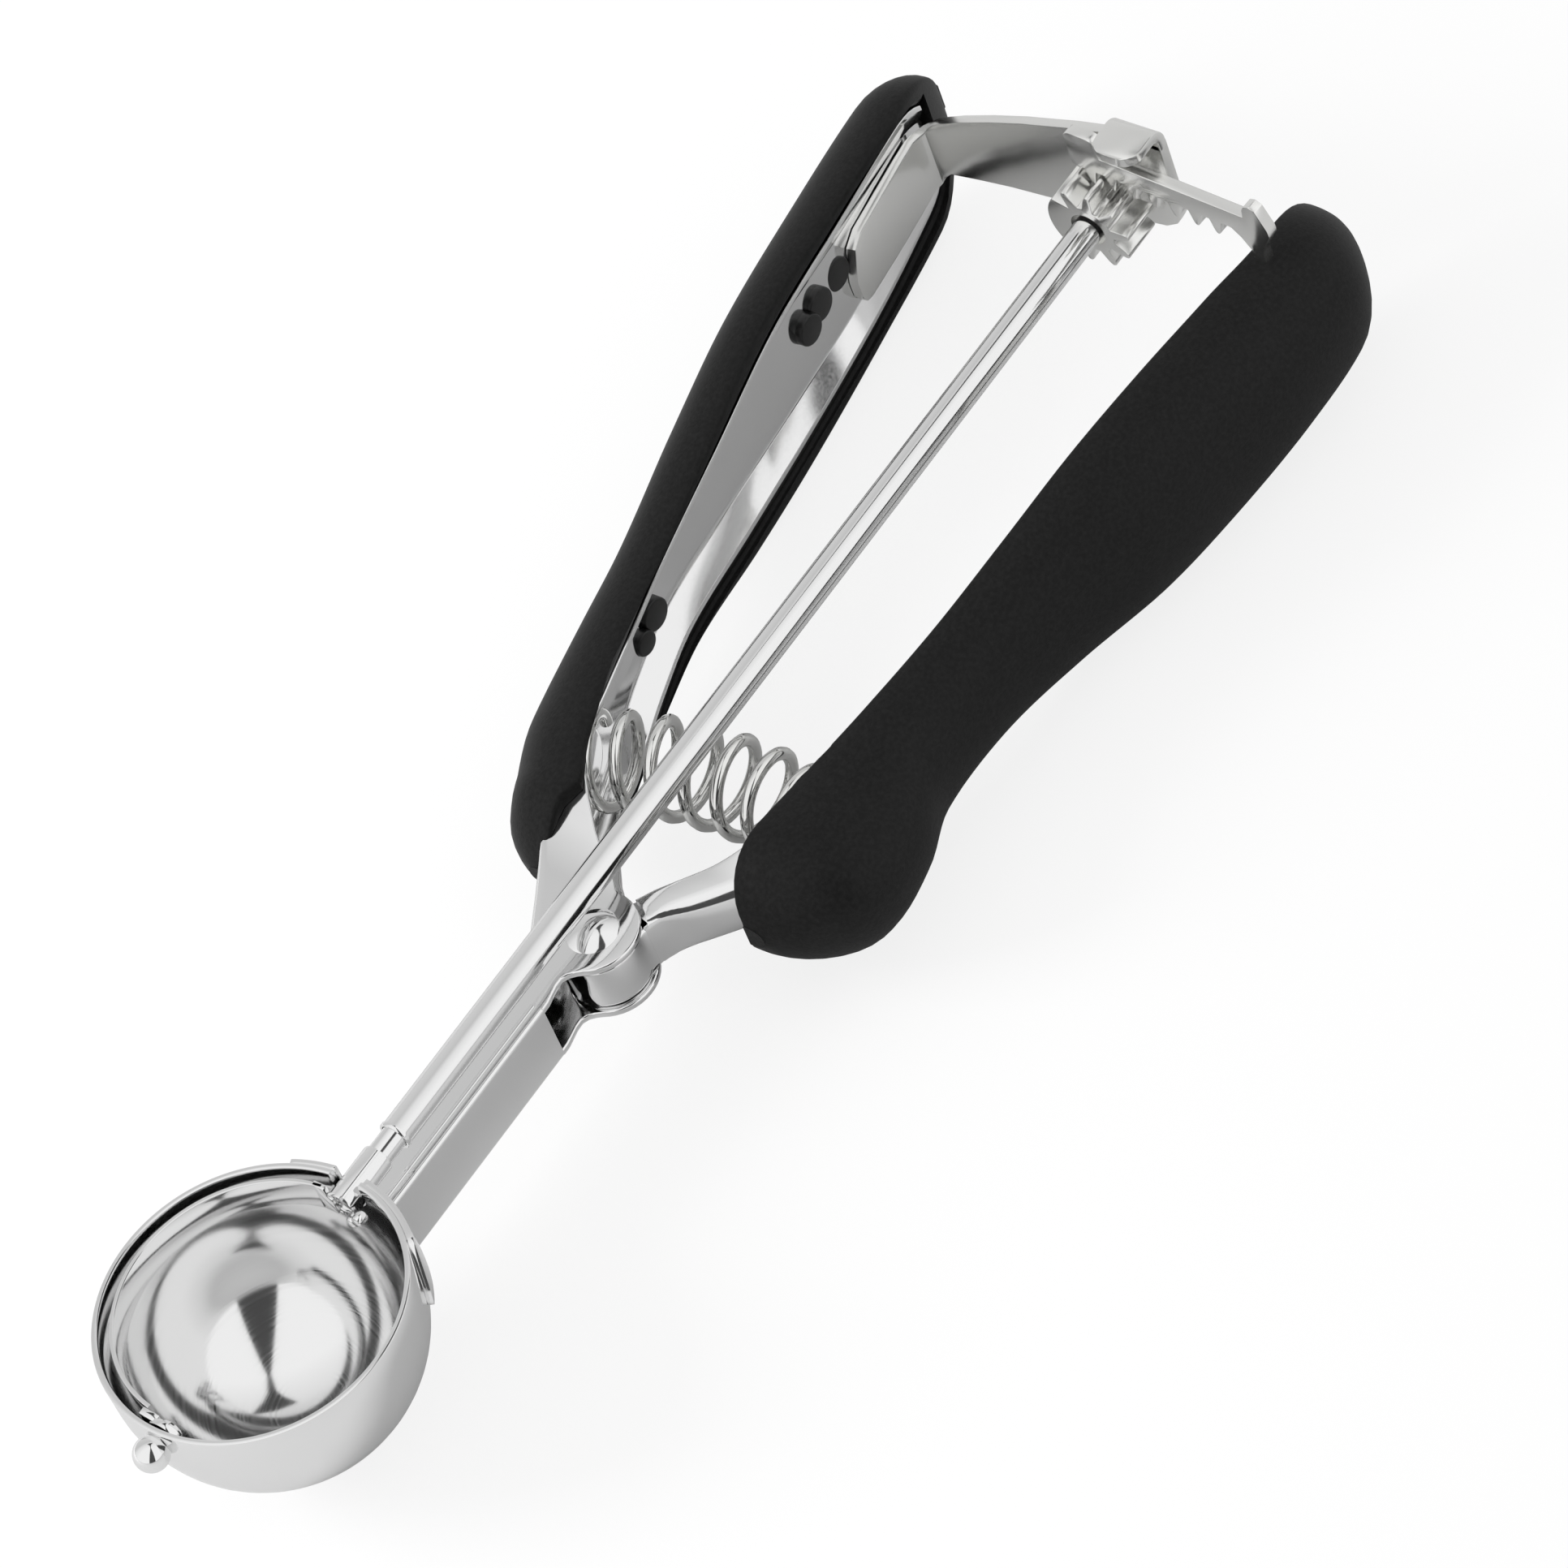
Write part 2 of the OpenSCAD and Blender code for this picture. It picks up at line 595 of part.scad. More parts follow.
module lever() {
    color("silver")
    difference() {
        union() {
            difference() {
                translate([0, 0, handle_level - lever_half]) linear_extrude(2 * lever_half) nose_outline();
                translate([0, 0, handle_level - lever_half + sheet])
                    linear_extrude(2 * (lever_half - sheet)) nose_hollow();
            }
            difference() {
                mirror([0, 1, 0]) channel(LEVER_LINE, LEVER_LINE[0][0], last(LEVER_LINE)[0]);
                ear_room();
            }
            mirror([0, 1, 0]) spring_boss(LEVER_LINE, lever_seat);
        }
        rack_slot();
        translate([pivot_x, pivot_y, -40]) cylinder(r = rivet_radius + 0.8 + fit_gap, h = 80);
        mirror([0, 1, 0]) for (pin = LEVER_PINS) pin_hole(pin);
    }
}

// ---- Spring ----

seat_boss = 4.4;        // radius of the round boss that keeps each end of the spring in place
fixed_seat = 94.3;      // places of the two seats along the rod
lever_seat = 97;
fixed_lean = 20;        // how far the spring's axis leans at the fixed seat

// A boss on the inside of a web, at the end of the spring
module spring_boss(rows, x) {
    slope = atan2(line_at(rows, x + 1)[2] - line_at(rows, x - 1)[2], 2);
    translate([x, line_at(rows, x)[2] - 0.6 * sheet, handle_level]) rotate([0, 0, slope]) rotate([90, 0, 0])
        cylinder(r1 = seat_boss, r2 = seat_boss - 0.7, h = 1.8);
}

module spring() {
    lift = spring_wire / 2 + 0.45;      // from a web to the middle of the wire
    from = [fixed_seat, line_at(FRAME_LINE, fixed_seat)[2] - sheet - lift];
    to = [lever_seat, -line_at(LEVER_LINE, lever_seat)[2] + sheet + lift];
    chord = atan2(to[0] - from[0], from[1] - to[1]);
    bend = 2 * (fixed_lean - chord);
    radius = norm(to - from) / (2 * sin(bend / 2));
    length = radius * bend * PI / 180;
    rings = 18;
    sides = 6;
    mean = spring_radius - spring_wire / 2;
    first = 2.2 * spring_wire;         // rise of the first turn
    closed = 1.3 * spring_wire;        // and of the last one, which is closed
    open = (length - first - closed) / (spring_turns - 2);
    color("lightgray")
    translate([from[0], from[1], handle_level])
    loft([for (i = [0 : rings * spring_turns])
        let (turn = i / rings, a = 360 * turn,
             z = min(turn, 1) * first + min(max(turn - 1, 0), spring_turns - 2) * open
                 + max(turn - spring_turns + 1, 0) * closed,
             lean = fixed_lean - bend * z / length,
             middle = radius * [cos(lean) - cos(fixed_lean), sin(lean) - sin(fixed_lean)])
        [for (j = [0 : sides - 1])
            let (b = 360 * j / sides, r = mean + spring_wire / 2 * cos(b), d = spring_wire / 2 * sin(b))
            [middle[0] + r * cos(a) * cos(lean) + d * sin(lean),
             middle[1] + r * cos(a) * sin(lean) - d * cos(lean), r * sin(a)]]]);
}

// ---- Grips ----

pin_hole_gap = 0.05;
snap_radius = 2.2;
// Snap pins of the grips: place along the rod and height
FIXED_PINS = [[114.4, -2], [118.1, -0.4], [169.4, 1.3], [176.1, -0.4]];
LEVER_PINS = [[116.3, 0], [157.4, 0]];

// Section of a grip: a flat front and a rounded back
function grip_section(r, scale) =
    let (half = r[2] * scale, depth = r[3] * scale, front = r[1] + 0.3 * (1 - scale) * r[3],
         back = [for (a = [90 : -12 : -90]) [front + depth * abs(cos(a)) ^ 0.8, half * sign(sin(a)) * abs(sin(a)) ^ 0.9]])
    concat([[front - 0.7 * scale, half - 1.1 * scale]], back, [[front - 0.7 * scale, -half + 1.1 * scale]]);

// How far a grip has swelled at place x, from 0 at its ends to 1
function swelled(x, a, b) =
    let (u = min((x - a) / 10, (b - x) / 13, 1)) sqrt(max(1 - (1 - u) ^ 2, 0.04));

function grip_places(a, b) = concat([a, a + 0.5, a + 1.5, a + 3], places(a + 5, b - 5), [b - 3, b - 1.5, b - 0.5, b]);

module grip_body(rows) {
    a = rows[0][0];
    b = last(rows)[0];
    loft([for (x = grip_places(a, b)) ring(x, grip_section(line_at(rows, x), swelled(x, a, b)))]);
}

// The liner's row: the tray's own row, grown all round
function grown(r) = [r[0], r[1] - liner_front, r[2] + 1.6, r[3] + liner, r[4]];

function grown_section(r) =
    let (upper = channel_outside(grown(r))) concat(upper, mirrored(upper));

// The liner's hollow in the cover reaches out of the cover's front
function grown_envelope(r) = envelope_section(grown(r), r[1] - clear_front);

function liner_rings(rows, from) =
    let (end = last(rows)) concat([for (x = places(from, end[0])) line_at(rows, x)],
                                  [concat([end[0] + 1], [for (k = [1 : 4]) end[k]])]);

// A snap pin passes through the web and spreads behind it
module snap_pin(web) {
    translate([0, web - sheet, 0]) rotate([-90, 0, 0]) {
        cylinder(r = snap_radius, h = sheet + 0.4);
        translate([0, 0, -1.4]) cylinder(r1 = snap_radius - 0.4, r2 = snap_radius + 0.3, h = 1.4);
    }
}

module pin_hole(pin) {
    translate([pin[0], 15, handle_level + pin[1]]) rotate([-90, 0, 0])
        cylinder(r = snap_radius + pin_hole_gap, h = 30);
}

liner_front = -0.25;   // how far the liner's lip stands proud of the tray's edge
liner_start = 105;   // the liners start behind the spring

module grip_liner(tray_rows, from, pins) {
    color("black")
    union() {
        difference() {
            loft([for (r = liner_rings(tray_rows, from)) ring(r[0], grown_section(r))]);
            envelope(tray_rows, from - step, last(tray_rows)[0]);
        }
        for (pin = pins) translate([pin[0], 0, handle_level + pin[1]]) snap_pin(line_at(tray_rows, pin[0])[2]);
    }
}

module grip_cover(grip_rows, tray_rows, from) {
    color([0.1, 0.1, 0.1])
    difference() {
        grip_body(grip_rows);
        loft([for (r = liner_rings(tray_rows, from)) ring(r[0], grown_envelope(r))]);
        envelope(tray_rows, step * floor(grip_rows[0][0] / step), from);
    }
}

module fixed_grip_liner() {
    grip_liner(FRAME_LINE, liner_start, FIXED_PINS);
}

module fixed_grip_cover() {
    grip_cover(FIXED_GRIP_LINE, FRAME_LINE, liner_start);
}

module lever_grip_liner() {
    difference() {
        mirror([0, 1, 0]) grip_liner(LEVER_LINE, liner_start, LEVER_PINS);
        rack_slot();
    }
}

module lever_grip_cover() {
    difference() {
        mirror([0, 1, 0]) grip_cover(LEVER_GRIP_LINE, LEVER_LINE, liner_start);
        rack_slot();
    }
}

// ---- The whole scoop ----

module lay_down() {
    translate([-(front_end + back_end) / 2, -(left_end + right_end) / 2, -low_end]) children();
}

lay_down() bowl();
lay_down() ball_pin();
lay_down() scraper();
lay_down() core_rod();
lay_down() wiper_tube();
lay_down() pinion();
lay_down() frame();
lay_down() gear_arm();
lay_down() pivot_rivet();
lay_down() pivot_bush();
lay_down() lever();
lay_down() rack_arm();
lay_down() spring();
lay_down() fixed_grip_liner();
lay_down() fixed_grip_cover();
lay_down() lever_grip_liner();
lay_down() lever_grip_cover();
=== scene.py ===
"""Looks of the lever ice cream scoop: polished stampings, satin gear plates, bright
spring wire and soft black grips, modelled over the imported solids.

Sizes are in millimetres, counted from the middle of the bowl on the rod's axis: X runs
along the rod to the handles, Y towards the fixed handle, Z out of the bowl's mouth.
"""
import json
import math

import bmesh
import bpy
from mathutils import Matrix, Vector


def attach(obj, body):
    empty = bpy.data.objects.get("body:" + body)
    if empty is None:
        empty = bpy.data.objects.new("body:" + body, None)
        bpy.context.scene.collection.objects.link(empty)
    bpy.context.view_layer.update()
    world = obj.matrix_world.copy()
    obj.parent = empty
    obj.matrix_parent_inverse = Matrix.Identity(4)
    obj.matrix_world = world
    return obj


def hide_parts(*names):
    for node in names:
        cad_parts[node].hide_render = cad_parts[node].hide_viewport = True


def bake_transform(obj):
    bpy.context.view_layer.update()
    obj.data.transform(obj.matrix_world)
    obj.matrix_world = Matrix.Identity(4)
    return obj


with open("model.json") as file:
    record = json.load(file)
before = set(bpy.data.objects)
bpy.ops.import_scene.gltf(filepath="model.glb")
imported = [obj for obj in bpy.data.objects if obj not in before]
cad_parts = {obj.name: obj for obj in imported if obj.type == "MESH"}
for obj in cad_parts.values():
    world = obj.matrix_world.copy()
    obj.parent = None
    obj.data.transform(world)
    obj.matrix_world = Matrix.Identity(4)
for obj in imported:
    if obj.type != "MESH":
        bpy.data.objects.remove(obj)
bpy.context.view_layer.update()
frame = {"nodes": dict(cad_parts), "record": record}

MM = 0.001
JOINTS = {joint["name"]: joint for joint in frame["record"]["behaviour"]["joints"]}
ROD = Vector(JOINTS["wiper_spin"]["pos_m"])
PIVOT = (Vector(JOINTS["lever_hinge"]["pos_m"]) - ROD) / MM

# ---- Sizes ----

HANDLE_LEVEL = PIVOT.z          # middle plane of the handles
SHEET = 1.1                     # sheet of the stampings
BOWL_RADIUS = 20.8
BOWL_WALL = 0.9
BOWL_DROP = 2.1                 # the half ball's centre, below the rod
RIM = 3.0                       # height of the rim
NECK_START = 14
NECK_END = 55.8
NECK_RIGHT = -2.8
NECK_HALF = 5.1
EAR_RADIUS = 6.4
NOSE_HALF = 3.7                 # half height of the lever's nose, between the ears
ROD_RADIUS = 1.75
TUBE_RADIUS = 2.13
TUBE_START = 29.3
PINION_START = 191.5
PINION_LENGTH = 6.5
PINION_TIP = 6.8
PINION_ROOT = 4.0
TOOTH_PITCH = 3.556
RACK_FRONT = 195.2
RACK_THICKNESS = 1.8
RACK_TOP = 10.45
RACK_MIDDLE = -8
ARM_FRONT = RACK_FRONT + RACK_THICKNESS + 2.4   # the rack passes in front of the arm
ARM_THICKNESS = 1.6
SPRING_RADIUS = 7.1
SPRING_WIRE = 1.8
FIXED_SEAT = 94.3               # the spring's ends, along the rod
LEVER_SEAT = 97
LINER = 1.4                     # thickness of the grips' liners
FLANGE_EDGE = 0.35              # rounding of a stamping's cut edge

# Lines of the stampings: place along the rod, flange edge, web, half height, fall of
# the flange towards the web. The lever's sideways places count away from the frame.
FRAME_LINE = [
    (14, -1.5, 5.5, 5.1, 0), (55, -1.5, 5.5, 5.1, 0), (57, -1.5, 5.5, 5.1, 0),
    (63, -1.5, 5.9, 5.1, 0), (69, -1, 9, 5.1, 0), (75, 0.5, 12.6, 5.2, 0),
    (80, 5, 15.6, 6, 0), (86, 10.9, 18.2, 8, 0.1),
    (92, 15.4, 20.3, 8.5, 0.1), (100, 17.7, 23, 8.4, 0.4), (110, 20.9, 25.6, 7.7, 2.2),
    (122, 24.3, 28.6, 7.5, 2.8), (140, 27.5, 31.6, 9.1, 3), (160, 31.1, 34.6, 10.8, 3),
    (180, 33.9, 36.6, 10.6, 3), (198, 36.9, 39.1, 9.6, 3), (202, 37.6, 39.8, 8.6, 3),
    (204.5, 38.2, 40.3, 6.8, 2.5)]
LEVER_LINE = [
    (71, -2.5, 6.95, 4.4, 0), (73.1, 0.5, 7.3, 4.4, 0), (75, 2.9, 8.3, 4.4, 0),
    (78, 4.9, 11.5, 4.4, 0), (81, 7.3, 14.4, 4.4, 0), (84.4, 10, 17.3, 4.5, 0),
    (88.2, 12.6, 19.8, 5.4, 0), (93, 16, 21.2, 7.8, 0.1), (100, 17.5, 23, 8.5, 0.2),
    (110, 18.7, 23.3, 7.7, 2), (125, 20, 24.2, 7.7, 2.8), (140, 21.6, 26, 9.1, 3),
    (155, 23, 27.6, 10.4, 3), (170, 24.2, 29, 10.6, 3), (185, 24.9, 29.8, 9.6, 3),
    (200, 25.6, 30.2, 8.6, 3), (207, 24.4, 28.4, 6, 2.5)]
# Lines of the grips: place along the rod, front, half height, depth
FIXED_GRIP_LINE = [
    (75.5, 11.4, 8, 10), (78, 11.7, 8.6, 11), (81, 12.9, 9.1, 10.2), (83, 13.1, 9.5, 10.5),
    (85.5, 12, 9.8, 12.5), (88, 13.3, 9.9, 12.5), (92, 15.5, 9.9, 12), (98, 17.4, 9.6, 11.7),
    (104, 19.3, 9.6, 11), (110, 21.2, 9.6, 10.2), (122, 24.2, 9.7, 9.5), (140, 27.6, 12.4, 10),
    (158, 31.1, 14.5, 9.9), (180, 34, 13.8, 10.7), (200, 36.9, 12.8, 10.3), (211.6, 39.7, 11.6, 7.2)]
LEVER_GRIP_LINE = [
    (79, 14.4, 9.9, 13.9), (90, 16.1, 10.5, 17), (100, 16.8, 9.8, 15.5), (110, 18.1, 10, 10.4),
    (125, 19.5, 10.3, 8.7), (140, 21.1, 12.1, 9.3), (155, 22.5, 13.8, 11.6), (170, 23.7, 14.1, 12.4),
    (185, 24.3, 12.9, 13.4), (200, 25, 12, 12.1), (211.3, 21.6, 11.5, 11.5)]


# ---- Places and curves ----

def at(x, y, z):
    """A place in the part's own frame, in metres."""
    return ROD + MM * Vector((x, y, z))


def spaced(start, end, step):
    """Even places from start to end, at most `step` apart."""
    count = math.ceil((end - start) / step)
    return [start + (end - start) * i / count for i in range(count + 1)]


def on_circle(radius, angles):
    """Points of a circle about the origin, at angles in degrees."""
    turns = [math.radians(a) for a in angles]
    return [(radius * math.cos(turn), radius * math.sin(turn)) for turn in turns]


def line_at(rows, x):
    """The row of a table at place x, on smooth curves through its rows."""
    i = max([j for j in range(len(rows) - 1) if rows[j][0] <= x] or [0])
    here, there = rows[i], rows[i + 1]
    run = there[0] - here[0]
    t = (x - here[0]) / run

    def slope(j, k):
        a, b = rows[max(j - 1, 0)], rows[min(j + 1, len(rows) - 1)]
        return (b[k] - a[k]) / (b[0] - a[0])

    row = [x]
    for k in range(1, len(here)):
        row.append((2 * t**3 - 3 * t**2 + 1) * here[k] + (3 * t**2 - 2 * t**3) * there[k]
                   + run * ((t**3 - 2 * t**2 + t) * slope(i, k) + (t**3 - t**2) * slope(i + 1, k)))
    return row


def rounded(corners, radii, steps):
    """A closed outline with each corner rounded by a curve of `steps` stretches."""
    share = 0.45                # the most that a curve takes of the sides it joins
    points = []
    count = len(corners)
    for i, (corner, radius) in enumerate(zip(corners, radii)):
        corner = Vector(corner)
        back = Vector(corners[i - 1]) - corner
        ahead = Vector(corners[(i + 1) % count]) - corner
        angle = back.angle(ahead)
        reach = min(radius / math.tan(angle / 2), share * back.length, share * ahead.length)
        start = corner + back.normalized() * reach
        end = corner + ahead.normalized() * reach
        for j in range(steps + 1):
            t = j / steps
            points.append((1 - t)**2 * start + 2 * t * (1 - t) * corner + t**2 * end)
    return points


# ---- Modelling ----

def select(piece):
    bpy.ops.object.select_all(action="DESELECT")
    piece.select_set(True)
    bpy.context.view_layer.objects.active = piece


def edit(piece):
    select(piece)
    bpy.ops.object.mode_set(mode="EDIT")
    bpy.ops.mesh.select_all(action="SELECT")


def close_edit():
    bpy.ops.mesh.select_all(action="SELECT")
    bpy.ops.mesh.normals_make_consistent(inside=False)
    bpy.ops.object.mode_set(mode="OBJECT")


def apply_modifier(piece, kind, **settings):
    select(piece)
    modifier = piece.modifiers.new(kind.lower(), kind)
    for key, value in settings.items():
        setattr(modifier, key, value)
    bpy.ops.object.modifier_apply(modifier=modifier.name)


def bevel(piece, width, angle=40, segments=2):
    apply_modifier(piece, "BEVEL", width=width * MM, segments=segments, limit_method="ANGLE",
                   angle_limit=math.radians(angle), harden_normals=False)


def cut(piece, cutter):
    """Takes the cutter's shape out of the piece, and the cutter away."""
    apply_modifier(piece, "BOOLEAN", operation="DIFFERENCE", solver="MANIFOLD", object=cutter)
    bpy.data.objects.remove(cutter, do_unlink=True)


def join(pieces, name):
    select(pieces[0])
    for piece in pieces:
        piece.select_set(True)
    bpy.ops.object.join()
    joined = bpy.context.object
    joined.name = name
    return joined


def outline(name, points):
    """A flat face with these corners."""
    bpy.ops.object.select_all(action="DESELECT")
    bpy.ops.mesh.primitive_circle_add(vertices=len(points), radius=MM, fill_type="NGON")
    piece = bpy.context.object
    piece.name = name
    for vertex, point in zip(piece.data.vertices, points):
        vertex.co = point
    return piece


def plate(name, points, thickness):
    """A flat outline drawn out by the vector `thickness`."""
    piece = outline(name, points)
    edit(piece)
    bpy.ops.mesh.extrude_region_move(TRANSFORM_OT_translate={"value": thickness})
    close_edit()
    return piece


def skin(name, rings):
    """A skin drawn out from the first outline through the others, closed at both ends."""
    piece = outline(name, rings[0])
    edit(piece)
    bpy.ops.mesh.select_mode(type="EDGE")
    for ring in rings[1:]:
        bpy.ops.mesh.extrude_edges_move()
        mesh = bmesh.from_edit_mesh(piece.data)
        drawn = [vertex for vertex in mesh.verts if vertex.select]
        for vertex, point in zip(drawn, ring):
            vertex.co = point
        bmesh.update_edit_mesh(piece.data)
    bpy.ops.mesh.edge_face_add()
    bpy.ops.mesh.select_mode(type="VERT")
    close_edit()
    return piece


def turned(name, profile, centre, axis, steps=64):
    """A profile of (radius, height) spun about an axis, +Z or +X, through `centre`."""
    rise = Vector((0, 0, 1)) if axis == "Z" else Vector((1, 0, 0))
    out = Vector((1, 0, 0)) if axis == "Z" else Vector((0, 1, 0))
    piece = outline(name, [centre + MM * (height * rise + radius * out)
                           for radius, height in profile])
    edit(piece)
    bpy.ops.mesh.delete(type="ONLY_FACE")
    bpy.ops.mesh.select_all(action="DESELECT")
    mesh = bmesh.from_edit_mesh(piece.data)
    for edge in mesh.edges:     # those on the axis itself
        edge.select = all((vertex.co - centre).cross(rise).length < 0.001 * MM
                          for vertex in edge.verts)
    bmesh.update_edit_mesh(piece.data)
    bpy.ops.mesh.delete(type="EDGE")
    bpy.ops.mesh.select_all(action="SELECT")
    bpy.ops.mesh.spin(steps=steps, angle=2 * math.pi, center=centre, axis=rise)
    bpy.ops.mesh.select_all(action="SELECT")
    bpy.ops.mesh.remove_doubles(threshold=0.002 * MM)
    close_edit()
    return piece


def dress(piece, material, body, *nodes, slot=None, smooth=35):
    """Gives a finished piece its material, its body and the nodes it stands for."""
    select(piece)
    bpy.ops.object.shade_smooth_by_angle(angle=math.radians(smooth))
    piece.data.materials.clear()
    piece.data.materials.append(material)
    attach(piece, body)
    if nodes:
        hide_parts(*nodes)


# ---- Materials ----

def colour(text):
    """Linear colour of an sRGB hex value such as 8a8a8a."""
    parts = [int(text[i:i + 2], 16) / 255 for i in (0, 2, 4)]
    return [c / 12.92 if c <= 0.04045 else ((c + 0.055) / 1.055)**2.4 for c in parts] + [1]


def add(tree, kind, inputs=None, **settings):
    """A node with its settings, and each input set or linked."""
    node = tree.nodes.new(kind)
    for key, value in settings.items():
        setattr(node, key, value)
    for key, value in (inputs or {}).items():
        if isinstance(value, bpy.types.NodeSocket):
            tree.links.new(value, node.inputs[key])
        else:
            node.inputs[key].default_value = value
    return node


def start_material(name, **sockets):
    material = bpy.data.materials.new(name)
    material.use_nodes = True
    tree = material.node_tree
    shader = tree.nodes["Principled BSDF"]
    for key, value in sockets.items():
        shader.inputs[key.replace("_", " ")].default_value = value
    return material, tree, shader


def noise(tree, size, detail):
    """Noise through the whole piece, with grains of about `size` millimetres."""
    place = add(tree, "ShaderNodeTexCoord").outputs["Object"]
    inputs = {"Vector": place, "Scale": 1 / (size * MM), "Detail": detail}
    return add(tree, "ShaderNodeTexNoise", inputs).outputs["Fac"]


def set_roughness(tree, shader, pattern, low, high):
    rough = add(tree, "ShaderNodeMapRange", {"Value": pattern, "To Min": low, "To Max": high})
    tree.links.new(rough.outputs["Result"], shader.inputs["Roughness"])


def set_bump(tree, shader, pattern, strength, height):
    """Bump from a pattern, `height` millimetres high."""
    inputs = {"Height": pattern, "Strength": strength, "Distance": height * MM}
    bump = add(tree, "ShaderNodeBump", inputs)
    tree.links.new(bump.outputs["Normal"], shader.inputs["Normal"])


def polished_stainless():
    """Stamped stainless sheet, tumbled and buffed: a mirror with a faint waviness that
    bends long reflections, and a fine haze of buffing marks."""
    material, tree, shader = start_material(
        "buffed_stainless", Base_Color=colour("ededed"), Metallic=1)
    set_roughness(tree, shader, noise(tree, 0.5, 3.0), 0.05, 0.13)
    set_bump(tree, shader, noise(tree, 9, 1.0), 0.35, 0.08)
    return material


def spun_stainless(centre):
    """Deep-drawn bowl, polished on a lathe: a mirror with faint rings about its axis."""
    material, tree, shader = start_material(
        "spun_stainless", Base_Color=colour("ededed"), Metallic=1)
    place = add(tree, "ShaderNodeTexCoord").outputs["Object"]
    centred = add(tree, "ShaderNodeMapping", {"Vector": place, "Location": -centre})
    split = add(tree, "ShaderNodeSeparateXYZ", {"Vector": centred.outputs["Vector"]})
    flat = add(tree, "ShaderNodeCombineXYZ", {"X": split.outputs["X"], "Y": split.outputs["Y"]})
    out = add(tree, "ShaderNodeVectorMath", {0: flat.outputs["Vector"]}, operation="LENGTH")
    inputs = {"W": out.outputs["Value"], "Scale": 1 / (0.35 * MM), "Detail": 3.0}
    rings = add(tree, "ShaderNodeTexNoise", inputs, noise_dimensions="1D").outputs["Fac"]
    set_roughness(tree, shader, rings, 0.05, 0.16)
    set_bump(tree, shader, rings, 0.12, 0.02)
    return material


def satin_steel():
    """Blanked steel plate, tumbled and nickel plated: a soft shine with fine pitting."""
    material, tree, shader = start_material(
        "tumbled_nickel_plate", Base_Color=colour("f0f0ee"), Metallic=1)
    pits = noise(tree, 0.4, 4.0)
    set_roughness(tree, shader, pits, 0.2, 0.28)
    set_bump(tree, shader, pits, 0.05, 0.02)
    return material


def spring_wire():
    """Drawn spring wire: bright, with a faint unevenness from the die."""
    material, tree, shader = start_material(
        "drawn_spring_wire", Base_Color=colour("e6e6e4"), Metallic=1)
    set_roughness(tree, shader, noise(tree, 0.3, 2.0), 0.05, 0.12)
    return material


def soft_touch():
    """Overmoulded thermoplastic rubber from a spark-eroded mould: matte black with a
    fine even grain and a few paler specks."""
    material, tree, shader = start_material(
        "moulded_soft_rubber", Roughness=0.5, IOR=1.38, Specular_IOR_Level=0.3)
    tone = add(tree, "ShaderNodeValToRGB", {"Fac": noise(tree, 0.6, 2.0)})
    tone.color_ramp.elements[0].position = 0.35
    tone.color_ramp.elements[0].color = colour("0d0d0d")
    tone.color_ramp.elements[1].position = 0.75
    tone.color_ramp.elements[1].color = colour("191919")
    tree.links.new(tone.outputs["Color"], shader.inputs["Base Color"])
    set_bump(tree, shader, noise(tree, 0.35, 3.0), 0.5, 0.06)
    return material


def hard_liner():
    """Moulded black polypropylene, with the slight shine of a polished mould."""
    material, tree, shader = start_material(
        "moulded_polypropylene", Base_Color=colour("0c0c0c"), IOR=1.49)
    set_roughness(tree, shader, noise(tree, 1.5, 2.0), 0.25, 0.4)
    return material


BOWL_CENTRE = at(0, 0, -BOWL_DROP)
POLISHED = polished_stainless()
SPUN = spun_stainless(BOWL_CENTRE)
SATIN = satin_steel()
WIRE = spring_wire()
RUBBER = soft_touch()
LINER_PLASTIC = hard_liner()


# ---- Bowl, scraper and rod ----

def make_bowl():
    inner = BOWL_RADIUS - BOWL_WALL
    up = RIM + BOWL_DROP
    edge = 0.28                 # rounding of the rim
    arc = [math.radians(90 * i / 24) for i in range(25)]
    profile = [(inner * math.sin(a), -inner * math.cos(a)) for a in arc]
    profile += [(inner, up - edge), (inner + 0.3 * edge, up - 0.3 * edge), (inner + edge, up)]
    profile += [(BOWL_RADIUS - edge, up), (BOWL_RADIUS - 0.3 * edge, up - 0.3 * edge),
                (BOWL_RADIUS, up - edge)]
    profile += [(BOWL_RADIUS * math.sin(a), -BOWL_RADIUS * math.cos(a)) for a in reversed(arc)]
    bowl = turned("bowl_shell", profile, BOWL_CENTRE, "Z", steps=160)
    # the notch that the scraper's sleeve lies in
    notch = 2.4
    corners = [(-notch, 6), (-notch, 0)] + on_circle(-notch, range(15, 180, 15))
    corners += [(notch, 0), (notch, 6)]
    cut(bowl, plate("notch", [at(15, y, z) for y, z in corners], Vector((10 * MM, 0, 0))))
    dress(bowl, SPUN, "frame", "bowl", slot="polished_steel", smooth=30)


def make_ball_pin():
    head = 2.4
    ball = -BOWL_RADIUS - 0.05 - head + 1       # the ball's middle, which sinks it into the wall
    arc = [math.radians(a) for a in range(0, 155, 8)]
    profile = [(head * math.sin(a), ball - head * math.cos(a)) for a in arc]
    profile += [(1.1, -BOWL_RADIUS - 0.4), (1.1, -18.75), (1.75, -18.6), (1.9, -18.3),
                (1.5, -17.96), (0, -17.9)]
    pin = turned("domed_pin", profile, at(0, 0, 0), "X", steps=48)
    dress(pin, POLISHED, "frame", "ball_pin", slot="polished_steel")


